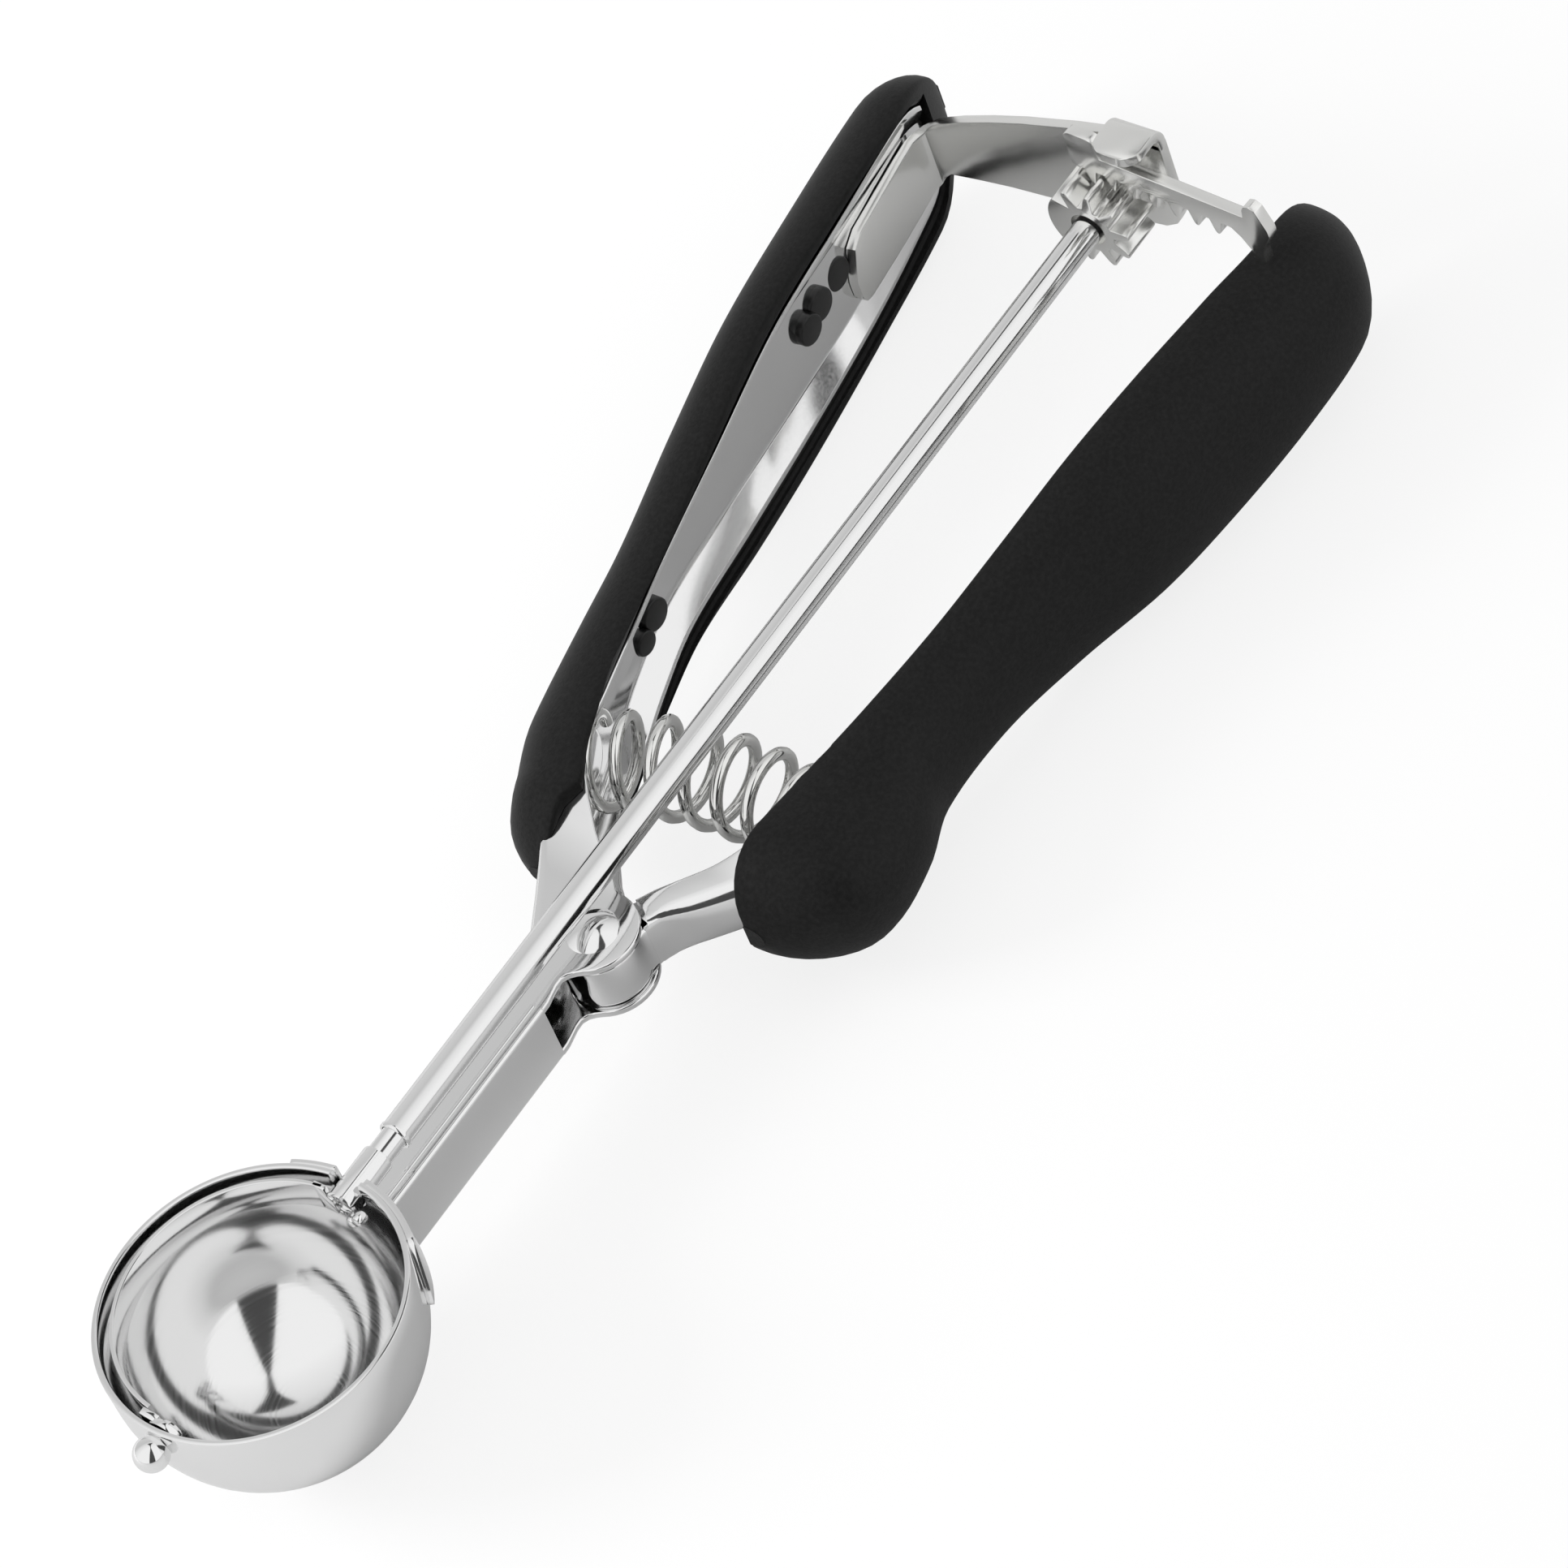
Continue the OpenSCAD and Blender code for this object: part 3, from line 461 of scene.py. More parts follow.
def make_scraper():
    outer = BOWL_RADIUS - BOWL_WALL - 1.5
    thick = 0.6
    low, high = -2.0, RIM
    strip = []
    for a in range(7, 175, 3):
        turn = math.radians(a)
        # the blade gets deeper over its last stretch, towards the far pin
        drop = 2.2 * max(0, (a - 120) / 55)**2
        foot = low - drop
        ends = [(outer, high), (outer - thick, high), (outer - thick, foot), (outer, foot)]
        strip.append([at(p.x * math.cos(turn), p.x * math.sin(turn), p.y)
                      for p in rounded(ends, [0.12] * 4, 2)])
    blade = skin("blade", strip)
    # the eye on the far pin
    eye_x, eye = -19.55, 2.7
    ring = on_circle(eye, range(0, 360, 10))
    disc = plate("eye", [at(eye_x, y, z) for y, z in ring], Vector((0.8 * MM, 0, 0)))
    shape = [(0.8, -2.6), (3.2, -4.2), (3.2, 3), (0.8, 2.4)]
    lug = plate("lug", [at(eye_x + 0.25, y, z) for y, z in shape], Vector((1.1 * MM, 0, 0)))
    bore = turned("bore", [(0, -25), (1.15, -25), (1.15, -10), (0, -10)], at(0, 0, 0), "X", steps=24)
    cut(disc, bore)
    # the sleeve rolled round the rod, with its open seam and the two lobes at the mouth
    seam = 118                  # angle of the sleeve's seam
    sleeve_rings = []
    for x, ease in ((17.8, 0.12), (18.1, 0), (25.7, 0), (26, 0.12)):
        angles = range(seam, seam + 346, 15)
        section = on_circle(2.15 - ease, angles) + on_circle(1.76 + ease / 2, reversed(angles))
        sleeve_rings.append([at(x, y, z) for y, z in section])
    sleeve = skin("sleeve", sleeve_rings)
    shape = [(0.9, -2), (3.6, -2), (3.6, 3), (1.6, 3), (1.4, 1.6), (0.9, 1)]
    web = plate("web", [at(17.5, y, z) for y, z in shape], Vector((0.8 * MM, 0, 0)))
    lobe = [(0, 16.6), (0.5, 16.6), (0.8, 16.8), (0.9, 17.1), (0.9, 18), (0.7, 18.3), (0, 18.3)]
    lobes = [turned("lobe", lobe, at(0, y, z), "X", 24) for y, z in ((-1.7, -1.7), (-3.1, -0.5))]
    for piece in (disc, lug, web):
        bevel(piece, 0.15)
    scraper = join([blade, disc, lug, sleeve, web] + lobes, "scraper_blade")
    dress(scraper, POLISHED, "wiper", "scraper", slot="polished_steel")


def make_rod_and_tube():
    # the rod, with its end peened over behind the arm
    end = ARM_FRONT + ARM_THICKNESS + 0.05
    profile = [(0, 18.2), (ROD_RADIUS, 18.2), (ROD_RADIUS, end), (ROD_RADIUS + 0.9, end),
               (ROD_RADIUS + 0.8, end + 0.5), (ROD_RADIUS, end + 0.9), (0, end + 1)]
    rod = turned("wiper_rod", profile, at(0, 0, 0), "X", 64)
    bevel(rod, 0.12)
    dress(rod, POLISHED, "wiper", "core_rod", slot="polished_steel")
    # the tube, with a small collar at its free end
    stop = PINION_START + PINION_LENGTH
    ring = TUBE_RADIUS + 0.15
    profile = [(ROD_RADIUS + 0.01, TUBE_START + 0.25), (ROD_RADIUS + 0.15, TUBE_START),
               (ring - 0.1, TUBE_START), (ring, TUBE_START + 0.15), (ring, TUBE_START + 0.55),
               (TUBE_RADIUS, TUBE_START + 0.8), (TUBE_RADIUS, stop), (ROD_RADIUS + 0.01, stop)]
    tube = turned("rod_tube", profile, at(0, 0, 0), "X", 96)
    dress(tube, POLISHED, "wiper", "wiper_tube", slot="polished_steel", smooth=45)


# ---- Stampings ----

def tray_ring(row, bend=2.0, side=1):
    """Section of a stamped tray: web, two flanges that fall towards it, rounded bends."""
    x, edge, web, half, fall = row
    inner = max(web - SHEET, edge + 0.3)
    corners = [(edge, half), (web, half - fall), (web, fall - half), (edge, -half),
               (edge, SHEET - half), (inner, fall - half + SHEET),
               (inner, half - fall - SHEET), (edge, half - SHEET)]
    outside = [FLANGE_EDGE, bend, bend, FLANGE_EDGE]
    inside = [FLANGE_EDGE, bend - SHEET, bend - SHEET, FLANGE_EDGE]
    points = rounded(corners, outside + inside, 4)
    # a line of points beside each sheet edge keeps the flats flat in the light
    near_top = points[4].lerp(points[5], 0.12)
    near_bottom = points[15].lerp(points[14], 0.12)
    points = points[:5] + [near_top] + points[5:15] + [near_bottom] + points[15:]
    return [at(x, side * p.x, HANDLE_LEVEL + p.y) for p in points]


# Edge of the frame's two plates from the neck round the ears, as x and y
EAR_EDGE = [(14, -1.5), (55.79, -1.5), (55.8, -2.8), (57, -2.75), (58.2, -2.5), (59.6, -2.2),
            (60.8, -2.15), (61.7, -2.6), (62.4, -3.4), (63, -4.4)]
EAR_EDGE += [(PIVOT.x + u, PIVOT.y + v) for u, v in on_circle(EAR_RADIUS, range(212, 356, 8))]
EAR_EDGE += [(75.3, -0.9), (75.8, -0.3), (76.8, 0.8), (79, 3.8), (81.5, 6.8), (84.8, 9.9),
             (88.1, 12.7), (90.2, 14.4)]


def make_frame():
    rings = []
    for x, edge in EAR_EDGE:
        row = line_at(FRAME_LINE, x)
        row[1] = edge
        rings.append(tray_ring(row))
    for x in spaced(91, 204.5, 1.5):
        rings.append(tray_ring(line_at(FRAME_LINE, x)))
    tray = skin("neck_and_tray", rings)
    # side wall of the neck, with rounded bends to both plates
    seam = -1.5                 # where the wall meets the plates
    corners = [(seam, NECK_HALF), (NECK_RIGHT, NECK_HALF),
               (NECK_RIGHT, -NECK_HALF), (seam, -NECK_HALF),
               (seam, SHEET - NECK_HALF), (NECK_RIGHT + SHEET, SHEET - NECK_HALF),
               (NECK_RIGHT + SHEET, NECK_HALF - SHEET), (seam, NECK_HALF - SHEET)]
    section = rounded(corners, [0.01, 1.25, 1.25, 0.01, 0.01, 0.2, 0.2, 0.01], 4)
    wall = skin("neck_wall", [[at(x, p.x, HANDLE_LEVEL + p.y) for p in section]
                              for x in (NECK_START, 20, 30, 40, 50, NECK_END - 0.2, NECK_END)])
    # room for the bowl, which the neck's end is shaped to
    room = BOWL_RADIUS - 0.02
    arc = [math.radians(a) for a in range(0, 91, 3)]
    profile = [(room * math.sin(a), -room * math.cos(a)) for a in arc]
    ball = turned("bowl_space", profile + [(room, 12), (0, 12)], BOWL_CENTRE, "Z", 96)
    other = ball.copy()
    other.data = ball.data.copy()
    bpy.context.collection.objects.link(other)
    cut(tray, ball)
    cut(wall, other)
    bands = [saddle_band(-53, -6.5, -4.5, fall_from=-38), saddle_band(6.5, 24, -4.5),
             saddle_band(-8, 15, -7.5, top=-2.45)]
    boss = spring_boss(FRAME_LINE, FIXED_SEAT, 1)
    folded = join([tray, wall, boss] + bands, "folded_frame")
    dress(folded, POLISHED, "frame", "frame", slot="polished_steel", smooth=38)


def saddle_band(start, end, bottom, top=2.6, fall_from=None):
    """Part of the strap that clasps the bowl, between two angles. Before the angle
    `fall_from` its upper edge falls to a point."""
    inside, outside = BOWL_RADIUS, BOWL_RADIUS + 0.85
    tall = top - bottom
    rings = []
    for a in spaced(start, end, 2):
        turn = math.radians(a)
        drop = (tall - 0.5) * max(0, (fall_from - a) / (fall_from - start))**2 if fall_from else 0
        levels = [z - drop * (z - bottom) / tall for z in spaced(bottom, top, tall / 5)]
        section = [(math.sqrt(outside**2 - min(0, z + BOWL_DROP)**2), z) for z in levels]
        section += [(math.sqrt(inside**2 - min(0, z + BOWL_DROP)**2), z) for z in reversed(levels)]
        rings.append([at(r * math.cos(turn), r * math.sin(turn), z) for r, z in section])
    band = skin("saddle_band", rings)
    bevel(band, 0.2, angle=60)
    return band


def spring_boss(rows, x, side):
    """A round boss on a web, which keeps the spring's end in place."""
    base = line_at(rows, x)[2] - SHEET
    slope = math.atan2(line_at(rows, x + 1)[2] - line_at(rows, x - 1)[2], 2)
    along = Vector((math.cos(slope), math.sin(slope)))
    out = Vector((math.sin(slope), -math.cos(slope)))
    rings = []
    for rise, radius in ((-0.5, 4.4), (0, 4.4), (0.5, 4.15), (0.75, 3.8), (0.85, 3.3)):
        rings.append([at(x + u * along.x + rise * out.x, side * (base + u * along.y + rise * out.y),
                         HANDLE_LEVEL + v) for u, v in on_circle(radius, range(0, 360, 10))])
    return skin("spring_boss", rings)


def make_rivet():
    ball, height = 5.4, 1.5     # radius and height of the domed heads
    profile = [(0, height)]
    for r in (0.5, 1, 1.5, 2, 2.5, 3, 3.4):
        profile.append((r, height - ball + math.sqrt(ball**2 - r**2)))
    profile += [(3.6, 0.12), (3.68, 0), (3.6, -0.2), (0, -0.2)]
    for name, side in (("rivet_head_top", 1), ("rivet_head_bottom", -1)):
        level = HANDLE_LEVEL + side * NECK_HALF
        rivet = turned(name, [(r, side * h) for r, h in profile],
                       at(PIVOT.x, PIVOT.y, level), "Z", 64)
        dress(rivet, POLISHED, "frame", "pivot_rivet", slot="polished_steel", smooth=40)


def lever_bend(x):
    """Radius of the lever's bends: tight at the nose, generous along the tang."""
    return min(1.2 + 0.6 * max(0, x - 74.5), 3.8, max(2.0, 3.8 - 0.14 * (x - 82)))


def make_lever():
    places = spaced(72.4, 92, 0.7)[:-1] + spaced(92, 207, 1.5)
    tray = skin("lever_tray", [tray_ring(line_at(LEVER_LINE, x), side=-1, bend=lever_bend(x))
                               for x in places])
    # room for the frame's ears, above and below the nose
    room, depth = EAR_RADIUS + 0.7, 3
    for level in (HANDLE_LEVEL + NOSE_HALF, HANDLE_LEVEL - NOSE_HALF - depth):
        profile = [(0, level), (room, level), (room, level + depth), (0, level + depth)]
        cut(tray, turned("ear_room", profile, at(PIVOT.x, PIVOT.y, 0), "Z", 96))
    # the nose round the rivet
    nose = [(PIVOT.x + u, PIVOT.y + v) for u, v in on_circle(5.9, range(20, 292, 6))]
    nose += [(71, -6.93), (72, -6.99), (73.1, -7.29), (73.6, -7.48), (74, -6.6),
             (74.6, -4.1), (74.6, -2.6)]
    block = plate("lever_nose", [at(x, y, HANDLE_LEVEL - NOSE_HALF) for x, y in nose],
                  Vector((0, 0, 2 * NOSE_HALF * MM)))
    bevel(block, 0.9, angle=60, segments=4)
    boss = spring_boss(LEVER_LINE, LEVER_SEAT, -1)
    lever = join([tray, block, boss], "stamped_lever")
    dress(lever, POLISHED, "lever", "lever", slot="polished_steel", smooth=38)


# ---- Rack, pinion and arms ----

def tooth(angle):
    """Corners of a pinion tooth, about its middle angle."""
    shape = [(PINION_ROOT, -0.85), (5.9, -0.63), (6.45, -0.48), (PINION_TIP, -0.25),
             (PINION_TIP, 0.25), (6.45, 0.48), (5.9, 0.63), (PINION_ROOT, 0.85)]
    turn = Matrix.Rotation(math.radians(angle), 2)
    return [turn @ Vector(p) for p in shape]


def make_pinion():
    points = []
    for i in range(7):
        points += tooth(66 + 36 * i)
    # the smooth stretch that never meets the rack
    points += [Vector(p) for p in on_circle(6.5, range(-56, 44, 6))]
    wheel = plate("pinion_wheel", [at(PINION_START, p.x, p.y) for p in points],
                  Vector((PINION_LENGTH * MM, 0, 0)))
    bevel(wheel, 0.14)
    # the hollow that the tube goes into
    mouth = TUBE_RADIUS + 0.62
    profile = [(0, PINION_START - 1), (mouth, PINION_START - 1),
               (mouth, PINION_START + 1.5), (0, PINION_START + 1.5)]
    cut(wheel, turned("mouth", profile, at(0, 0, 0), "X", 48))
    # the hub runs on to the arm
    start, end, radius = PINION_START + 1.4, ARM_FRONT - 0.05, 3.3
    profile = [(ROD_RADIUS, start), (radius, start), (radius, end), (ROD_RADIUS, end)]
    hub = turned("pinion_hub", profile, at(0, 0, 0), "X", 48)
    dress(join([wheel, hub], "pinion_gear"), SATIN, "wiper", "pinion", slot="gear_steel")


def make_rack():
    # outline, as y and z: the stem and its shoulder, seven teeth, the two stop humps
    root, tip = PINION_TIP + 0.35, 4.6
    points = [(-28, -16), (-24.6, -16), (-24.6, -1), (-25.9, 1), (-26.2, 3.8), (-24.8, 5.9),
              (-23.4, root)]
    for i in range(6, -1, -1):
        middle = 0.6 - TOOTH_PITCH * i
        points += [(middle - 1, root), (middle - 0.42, tip + 0.35), (middle - 0.15, tip),
                   (middle + 0.25, tip + 0.05), (middle + 0.5, tip + 0.5), (middle + 1, root)]
    points += [(3.3, root), (3.7, root + 0.4), (3.7, RACK_TOP + 1), (3.6, 13), (3.1, 13.5),
               (2.4, 13.75), (-0.6, 13.75), (-1.4, 13.5), (-1.85, 13), (-1.9, RACK_TOP),
               (-26.2, RACK_TOP), (-26.4, 12), (-26.9, 12.8), (-27.8, 13.1), (-28.8, 12.6),
               (-30.1, 9.4), (-30.2, 8.2), (-28.2, 4.9), (-28, 3.8)]
    rack = plate("rack_plate", [at(RACK_FRONT, y, z) for y, z in points],
                 Vector((RACK_THICKNESS * MM, 0, 0)))
    bevel(rack, 0.13)
    # turned square to the line from the rivet
    turn = math.atan2(RACK_MIDDLE - 2 - PIVOT.y, RACK_FRONT - PIVOT.x)
    middle = at(RACK_FRONT, RACK_MIDDLE, 0)
    rack.data.transform(Matrix.Translation(middle) @ Matrix.Rotation(turn, 4, "Z")
                        @ Matrix.Translation(-middle))
    # the leg along the lever's web
    thick, half = 1.5, 6
    ends = [line_at(LEVER_LINE, x) for x in (RACK_FRONT - 20, RACK_FRONT)]
    (x0, y0), (x1, y1) = [(row[0], -row[2] + SHEET + 0.25 + thick) for row in ends]
    corners = [(x0, y0, -half), (x1, y1, -half), (x1, y1, half), (x0, y0, half)]
    leg = plate("rack_leg", [at(x, y, HANDLE_LEVEL + z) for x, y, z in corners],
                Vector((0, -thick * MM, 0)))
    dress(join([rack, leg], "rack_arm_plate"), SATIN, "lever", "rack_arm", slot="gear_steel")


# The arm's middle line from its leg in the tray to its free edge: x, y, low, high
ARM_ROWS = [
    (178.6, 34.45, -14.6, -11.6), (179.2, 34.5, -15.8, -9.6), (180.4, 34.65, -16.2, -6.6),
    (183, 35.0, -16.3, -5.4), (190, 35.9, -16.4, -5.2), (196, 36.75, -16.4, -5.2),
    (199.4, 37.2, -16.3, -5.3), (201, 37.15, -16.2, -5.5), (202.2, 36.5, -15.8, -5.2),
    (202.5, 35.4, -14.6, -4.2), (202.3, 33.5, -12.9, -2.5), (201.8, 28, -11.3, 0.6),
    (201.35, 21.9, -9.8, 3.5), (200.8, 15, -8.4, 6.5), (200.35, 9.5, -7.2, 8.6),
    (200.2, 5, -6.3, 10.1), (200.2, 1, -5.75, 11.05), (200.2, -1, -5.6, 11.6),
    (200.2, -2.5, -5.6, 12.3), (200.2, -6.5, -5, 12.3), (200.2, -8.5, -3.8, 12.3),
    (200.2, -9.5, -2.2, 12.3), (200.2, -9.78, -1.4, 12.3)]


def heading(rows, i):
    """Direction of a line of rows at row i, in the plane of their first two values."""
    a, b = rows[max(i - 1, 0)], rows[min(i + 1, len(rows) - 1)]
    return Vector((b[0] - a[0], b[1] - a[1])).normalized()


def make_gear_arm():
    half = ARM_THICKNESS / 2
    rings = []
    for i, (x, y, low, high) in enumerate(ARM_ROWS):
        along = heading(ARM_ROWS, i)
        across = Vector((-along.y, along.x))
        section = rounded([(-half, high), (half, high), (half, low), (-half, low)], [0.25] * 4, 2)
        rings.append([at(x + across.x * p.x, y + across.y * p.x, p.y) for p in section])
    arm = skin("arm_plate", rings)
    # the tab over the rack: up, round the bend and forwards to a rounded tip
    left, right, level, inner = -2.4, -9.8, 13.5, 1.0
    path = [(ARM_FRONT + half, level - inner - 1.2, 0), (ARM_FRONT + half, level - inner - 0.3, 0)]
    for a in range(0, 91, 10):
        turn = math.radians(a)
        path.append((ARM_FRONT - inner + (inner + half) * math.cos(turn),
                     level - inner + (inner + half) * math.sin(turn), 0))
    for x, pull in ((197.4, 0), (196.1, 0), (195.3, 0.13), (194.6, 0.5), (194, 1.05), (193.65, 1.7),
                    (193.5, 2.6)):
        path.append((x, level + half - 0.02 * (198.4 - x), pull))
    tab_rings = []
    for i, (x, z, pull) in enumerate(path):
        along = heading(path, i)
        across = Vector((along.y, -along.x))
        low, high = right + pull, left - pull
        section = rounded([(low, -half), (high, -half), (high, half), (low, half)], [0.2] * 4, 2)
        tab_rings.append([at(x + across.x * p.y, p.x, z + across.y * p.y) for p in section])
    tab = skin("arm_tab", tab_rings)
    # the hole that the rod turns in
    bore = ROD_RADIUS + 0.05
    profile = [(0, ARM_FRONT - 3), (bore, ARM_FRONT - 3), (bore, ARM_FRONT + 4), (0, ARM_FRONT + 4)]
    cut(arm, turned("hole", profile, at(0, 0, 0), "X", 32))
    dress(join([arm, tab], "gear_arm_plate"), SATIN, "frame", "gear_arm", slot="gear_steel")


# ---- Spring ----

def make_spring():
    # the coil's middle line is an arc from seat to seat, setting out at the angle `lean`
    lift = SPRING_WIRE / 2 + 0.45
    start = Vector((FIXED_SEAT, line_at(FRAME_LINE, FIXED_SEAT)[2] - SHEET - lift))
    end = Vector((LEVER_SEAT, -line_at(LEVER_LINE, LEVER_SEAT)[2] + SHEET + lift))
    chord = math.atan2(end.x - start.x, start.y - end.y)
    lean = math.radians(20)
    bend = 2 * (lean - chord)
    radius = (end - start).length / (2 * math.sin(bend / 2))
    length = radius * bend
    turns, first, last = 8, 2.2 * SPRING_WIRE, 1.3 * SPRING_WIRE
    pitch = (length - first - last) / (turns - 2)
    mean = SPRING_RADIUS - SPRING_WIRE / 2
    rings = []
    for i in range(48 * turns + 1):
        turn = i / 48
        a = 2 * math.pi * turn
        rise = min(turn, 1) * first + min(max(turn - 1, 0), turns - 2) * pitch
        rise += max(turn - turns + 1, 0) * last
        tilt = lean - bend * rise / length
        middle = start + radius * Vector((math.cos(tilt) - math.cos(lean),
                                          math.sin(tilt) - math.sin(lean)))
        ring = []
        for j in range(12):
            b = 2 * math.pi * j / 12
            r = mean + SPRING_WIRE / 2 * math.cos(b)
            d = SPRING_WIRE / 2 * math.sin(b)
            ring.append(at(middle.x + r * math.cos(a) * math.cos(tilt) + d * math.sin(tilt),
                           middle.y + r * math.cos(a) * math.sin(tilt) - d * math.cos(tilt),
                           HANDLE_LEVEL + r * math.sin(a)))
        rings.append(ring)
    spring = skin("coil_spring", rings)
    select(spring)
    bpy.ops.object.shade_smooth_by_angle(angle=math.radians(50))
    spring.data.materials.append(WIRE)
    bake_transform(spring)
    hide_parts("spring")


# ---- Grips ----

def swelled(x, start, end):
    """How far a grip has swelled at place x, from a little at its ends to 1. It takes 10 at
    the front end and 13 at the back."""
    u = min((x - start) / 10, (end - x) / 13, 1)
    return math.sqrt(max(1 - (1 - u)**2, 0.04))


def grip_ring(row, scale, side):
    """Section of a grip: a full round back and a rolled lip at the front."""
    x, front, half, depth = row
    front += 0.3 * (1 - scale) * depth
    half, depth = half * scale, depth * scale
    reach, roll = 0.7 * scale, 1.1 * scale
    back = [(front + depth * abs(u)**0.8, half * math.copysign(abs(v)**0.9, v))
            for u, v in on_circle(1, range(90, -91, -5))]
    lip = [(front - reach * v, half - roll * (1 - u)) for u, v in on_circle(1, (90, 60, 30))]
    points = lip + back + [(y, -z) for y, z in reversed(lip)]
    points.append((points[-1][0], 0))   # the middle of the front
    return [at(x, side * y, HANDLE_LEVEL + z) for y, z in points]


def hollow_ring(row, grow, front, side):
    """The outline of the tray, grown all round, and reaching out of the grip's front."""
    x, edge, web, half, fall = row
    half += grow
    web += 1.15 * grow
    corners = [(edge - front, half), (edge, half), (web, half - fall), (web, fall - half),
               (edge, -half), (edge - front, -half)]
    points = rounded(corners, [0.01, 0.3, 2.2, 2.2, 0.3, 0.01], 3)
    return [at(x, side * p.x, HANDLE_LEVEL + p.y) for p in points]


def liner_share(x):
    """How much of the liner's thickness has come at place x, from none at 92 to 1."""
    return min(1, max(0, (x - 92) / 12))


def make_grip(name, grip_rows, tray_rows, side, body, node):
    start, end = grip_rows[0][0], grip_rows[-1][0]
    places = [start + d for d in (0, 0.1, 0.3, 0.7, 1.3, 2.1, 3.1, 4.3, 5.7, 7.2, 8.6, 10)]
    places += spaced(start + 11.5, end - 14.5, 1.8)
    places += [end - d for d in (13, 11, 9, 7.2, 5.6, 4.2, 3, 2, 1.2, 0.6, 0.25, 0.08, 0)]
    cover = skin(name, [grip_ring(line_at(grip_rows, x), swelled(x, start, end), side)
                        for x in places])
    # the hollow for the tray and its liner, open at the grip's front
    front, past_end = 9, 1.2
    hollow = []
    for x in spaced(start - 3, tray_rows[-1][0], 2):
        grow = 0.08 + LINER * liner_share(x)
        hollow.append(hollow_ring(line_at(tray_rows, x), grow, front, side))
    last_row = list(tray_rows[-1])
    last_row[0] += past_end
    hollow.append(hollow_ring(last_row, LINER * 0.8, front, side))
    cut(cover, skin("hollow", hollow))
    dress(cover, RUBBER, body, node, slot="soft_grip", smooth=40)


def make_liner(name, tray_rows, side, body, node):
    """The liner between a tray and its grip, a little back from the tray's edge."""
    gap = 0.03                  # between liner and tray
    rings = []
    for x in spaced(98, tray_rows[-1][0] + 1, 1.5):
        row = line_at(tray_rows, min(x, tray_rows[-1][0]))
        grow = LINER * max(0.1, liner_share(x)) - 0.12
        edge, web, half, fall = row[1] + 0.35, row[2], row[3], row[4]
        corners = [(edge, half + grow), (web + grow, half + grow - fall),
                   (web + grow, fall - half - grow), (edge, -half - grow),
                   (edge, -half - gap), (web + gap, fall - half - gap),
                   (web + gap, half - fall + gap), (edge, half + gap)]
        points = rounded(corners, [0.3, 2.2, 2.2, 0.3, 0.2, 2, 2, 0.2], 3)
        rings.append([at(x, side * p.x, HANDLE_LEVEL + p.y) for p in points])
    dress(skin(name, rings), LINER_PLASTIC, body, node, slot="liner_plastic", smooth=40)


# The grip's snap pins, through the tray's web: place, height, radius, length
FIXED_PINS = [(114.4, -2, 1.9, 1.5), (118.1, -0.4, 2.5, 1.9), (167.4, 1.2, 2.4, 1.9),
              (171.2, 2.0, 2.6, 1.5), (177, 1.7, 2.6, 0.85)]


def make_snap_pins():
    pins = []
    for x, rise, size, stand in FIXED_PINS:
        web = line_at(FRAME_LINE, x)[2] - SHEET
        ring = [at(x + u, web + 0.6, HANDLE_LEVEL + rise + v)
                for u, v in on_circle(size, range(0, 360, 12))]
        pin = plate("snap_pin", ring, Vector((0, -stand * MM, 0)))
        bevel(pin, 0.3, segments=3)
        pins.append(pin)
    dress(join(pins, "snap_pins"), LINER_PLASTIC, "frame", slot="liner_plastic")


make_bowl()
make_ball_pin()
make_scraper()
make_rod_and_tube()
make_frame()
make_rivet()
make_lever()
make_pinion()
make_rack()
make_gear_arm()
make_spring()
make_grip("fixed_grip_rubber", FIXED_GRIP_LINE, FRAME_LINE, 1, "frame", "fixed_grip_cover")
make_grip("lever_grip_rubber", LEVER_GRIP_LINE, LEVER_LINE, -1, "lever", "lever_grip_cover")
make_liner("fixed_liner", FRAME_LINE, 1, "frame", "fixed_grip_liner")
make_liner("lever_liner", LEVER_LINE, -1, "lever", "lever_grip_liner")
make_snap_pins()
frame["nodes"]["pivot_bush"].data.materials.clear()
frame["nodes"]["pivot_bush"].data.materials.append(SATIN)


# ---- Floor, light and camera ----

# The camera's right-hand direction, and its way ahead over the floor
EYE_RIGHT = Vector((0.554, -0.7905, -0.2611)).normalized()
EYE_AHEAD = (0.6, 0.8, 0)


def make_floor():
    """A wide white sheet: white to the eye but for the scoop's soft shadow, and a little
    deeper where metal mirrors it."""
    bpy.ops.object.select_all(action="DESELECT")
    bpy.ops.mesh.primitive_plane_add(size=8)
    floor = bpy.context.object
    floor.name = "floor"
    material, tree, shader = start_material("white_paper", Roughness=0.9)
    shader.inputs["Specular IOR Level"].default_value = 0
    glow = add(tree, "ShaderNodeEmission", {"Color": (1, 1, 1, 1), "Strength": 1.0})
    ray = add(tree, "ShaderNodeLightPath")
    eye = add(tree, "ShaderNodeMath", {0: ray.outputs["Is Camera Ray"], 1: 0.82},
              operation="MULTIPLY")
    tones = {0: ray.outputs["Is Glossy Ray"], 6: colour("f4f4f4"), 7: colour("d2d2d2")}
    tone = add(tree, "ShaderNodeMix", tones, data_type="RGBA")
    tree.links.new(tone.outputs[2], shader.inputs["Base Color"])
    mix = add(tree, "ShaderNodeMixShader",
              {0: eye.outputs["Value"], 1: shader.outputs["BSDF"], 2: glow.outputs["Emission"]})
    tree.links.new(mix.outputs["Shader"], tree.nodes["Material Output"].inputs["Surface"])
    floor.data.materials.append(material)


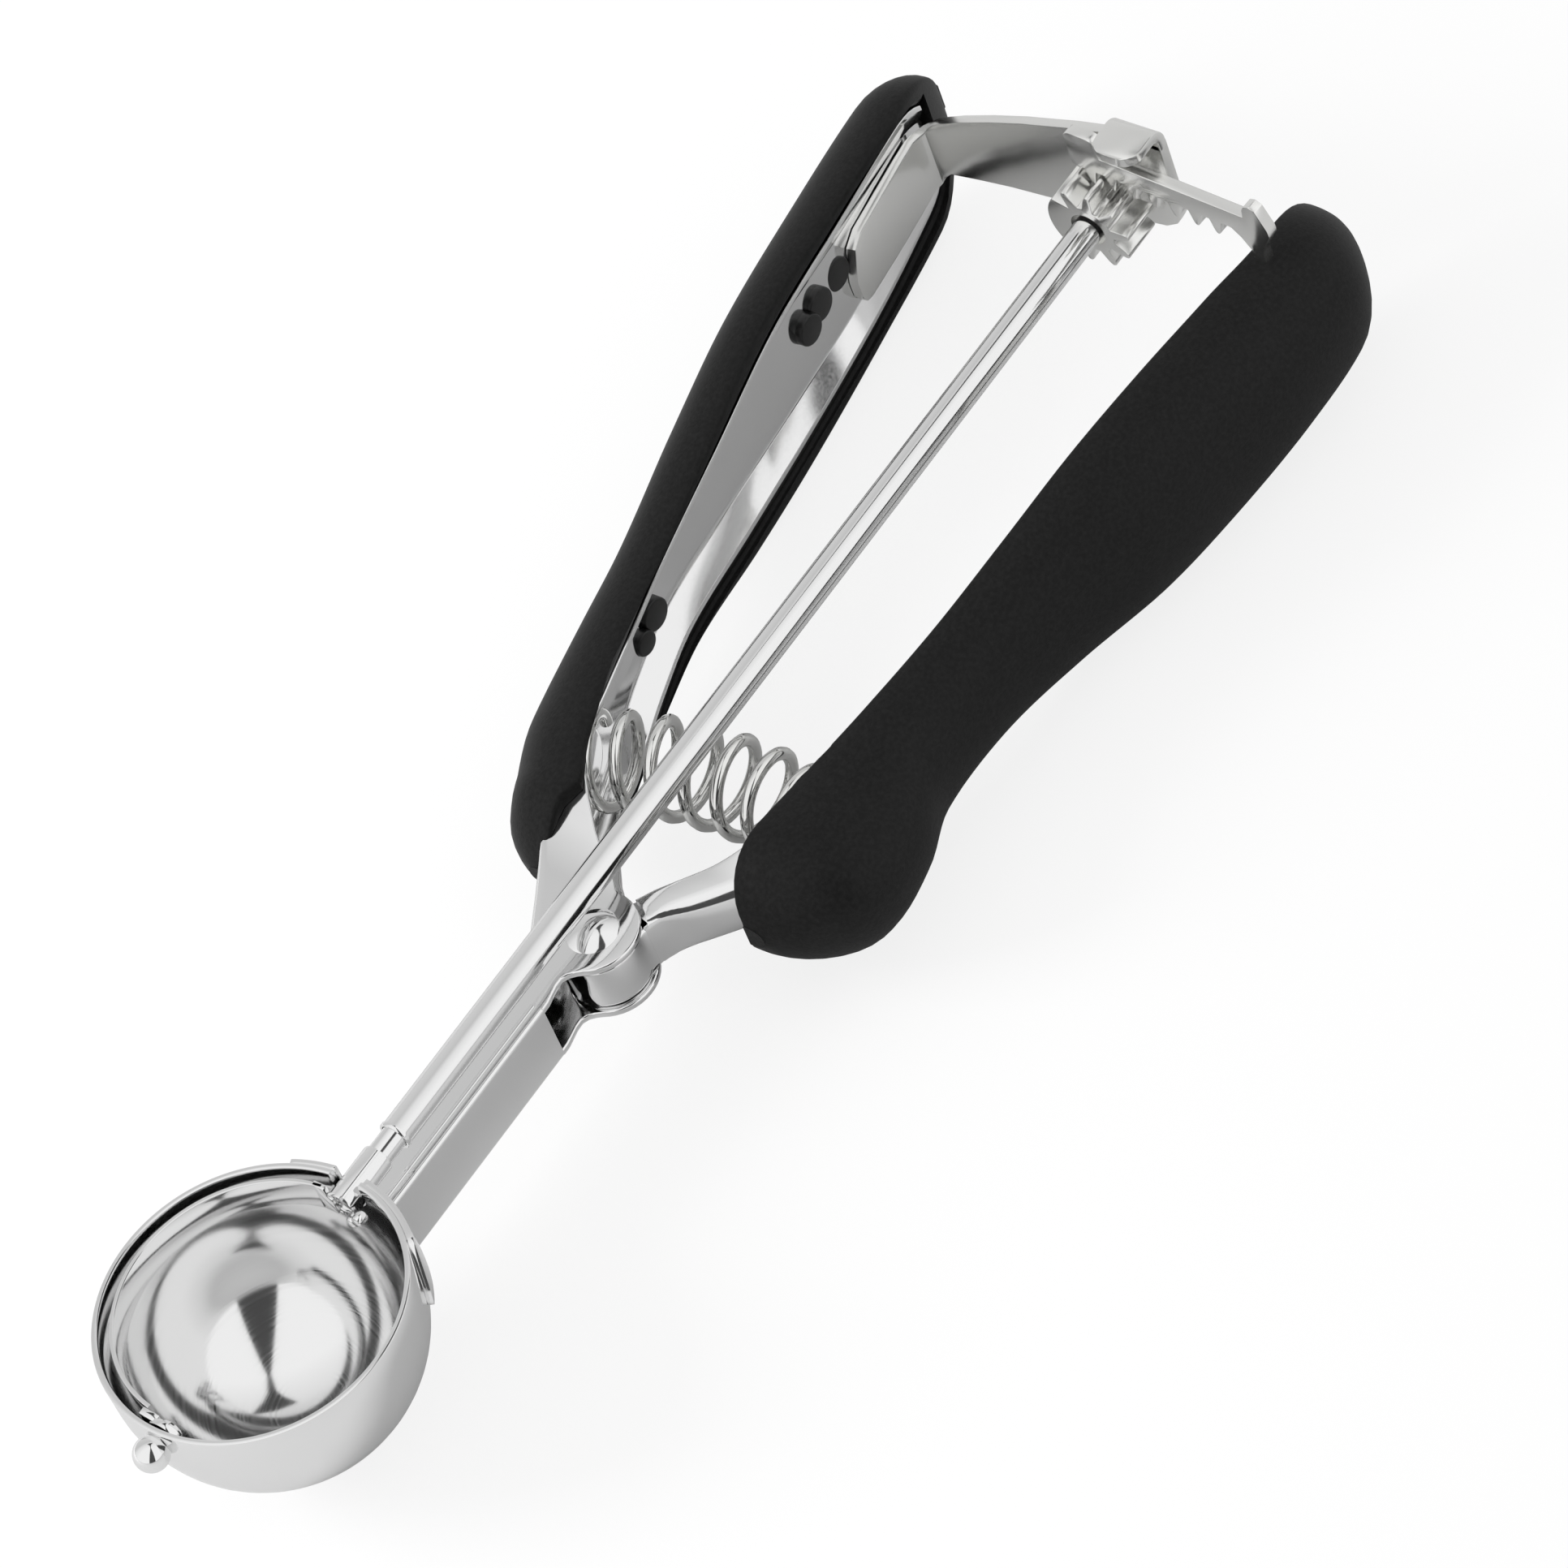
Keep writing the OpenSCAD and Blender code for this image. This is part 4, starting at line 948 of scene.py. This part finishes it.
def ramp(tree, value, stops):
    """A grey ramp over 0 to 1, through (place, grey) stops."""
    node = add(tree, "ShaderNodeValToRGB", {"Fac": value})
    while len(node.color_ramp.elements) < len(stops):
        node.color_ramp.elements.new(0.5)
    for element, (place, grey) in zip(node.color_ramp.elements, stops):
        element.position = place
        element.color = (grey, grey, grey, 1)
    return node.outputs["Color"]


def light_world():
    """Two white panels, left and right of the viewer, that nearly meet overhead. The dark
    gap between them opens towards the viewer, and a little on the far side."""
    world = bpy.data.worlds.new("panels")
    bpy.context.scene.world = world
    world.use_nodes = True
    tree = world.node_tree
    tree.nodes.clear()

    def vector(operation, *values):
        node = add(tree, "ShaderNodeVectorMath", dict(enumerate(values)), operation=operation)
        return node.outputs["Value"]

    def number(operation, *values):
        node = add(tree, "ShaderNodeMath", dict(enumerate(values)), operation=operation)
        return node.outputs["Value"]

    look = add(tree, "ShaderNodeTexCoord").outputs["Generated"]
    aside = vector("DOT_PRODUCT", look, EYE_RIGHT)
    ahead = vector("DOT_PRODUCT", look, EYE_AHEAD)
    along = add(tree, "ShaderNodeMapRange", {"Value": ahead, "From Min": -1.0, "From Max": 1.0})
    along = along.outputs["Result"]
    # half the gap's width, over `along`, with 0.05 or less for none
    half = ramp(tree, along, [(0, 0.34), (0.11, 0.28), (0.3, 0.17), (0.485, 0.072), (0.6, 0.1),
                              (0.65, 0.16), (0.72, 0.29), (0.732, 0.0)])
    sky = ramp(tree, along, [(0, 1.0), (0.5, 1.0), (0.7, 0.85), (0.82, 0.62), (1, 0.7)])
    # the gap's middle leans a little to the left as it goes ahead
    middle = number("MULTIPLY_ADD", ahead, -0.19, -0.02)
    away = number("ABSOLUTE", number("SUBTRACT", aside, middle))
    past = number("SUBTRACT", away, half)
    # the panel's edge is soft, from 0.065 to 0.035 inside the ramp's width
    panel = add(tree, "ShaderNodeMapRange",
                {"Value": past, "From Min": -0.065, "From Max": -0.035},
                interpolation_type="SMOOTHSTEP").outputs["Result"]
    gap_grey = 0.07
    light = add(tree, "ShaderNodeMix", {0: panel, 2: gap_grey, 3: sky}, data_type="FLOAT")
    ray = add(tree, "ShaderNodeLightPath")
    tent = add(tree, "ShaderNodeBackground", {"Color": light.outputs[0], "Strength": 1.0})
    white = add(tree, "ShaderNodeBackground", {"Color": (1, 1, 1, 1), "Strength": 1.0})
    mix = add(tree, "ShaderNodeMixShader", {0: ray.outputs["Is Camera Ray"],
                                            1: tent.outputs["Background"],
                                            2: white.outputs["Background"]})
    output = add(tree, "ShaderNodeOutputWorld")
    tree.links.new(mix.outputs["Shader"], output.inputs["Surface"])


def add_lamp(name, place, aim, size, power):
    """A soft lamp that metal doesn't mirror, because the panels stand for it there."""
    bpy.ops.object.light_add(type="AREA", location=place)
    lamp = bpy.context.object
    lamp.name = name
    lamp.data.size = size
    lamp.data.energy = power
    lamp.rotation_euler = (Vector(place) - Vector(aim)).to_track_quat("Z", "Y").to_euler()
    lamp.visible_glossy = False


def make_camera():
    lens, sensor = 157.76, 36.0
    place = at(-251.2, -477.5, 663.3)
    back = Vector((-0.3946, -0.5255, 0.7537)).normalized()
    up = back.cross(EYE_RIGHT).normalized()
    data = bpy.data.cameras.new("camera")
    data.lens = lens
    data.sensor_width = sensor
    data.clip_start = 0.01
    camera = bpy.data.objects.new("camera", data)
    bpy.context.collection.objects.link(camera)
    turn = Matrix((EYE_RIGHT, up, back)).transposed().to_4x4()
    camera.matrix_world = Matrix.Translation(place) @ turn
    bpy.context.scene.camera = camera


make_floor()
light_world()
add_lamp("softbox_left", (-0.42, 0.5, 0.42), (0, 0, 0), 0.35, 4.5)
make_camera()
bpy.context.scene.view_settings.view_transform = "Standard"
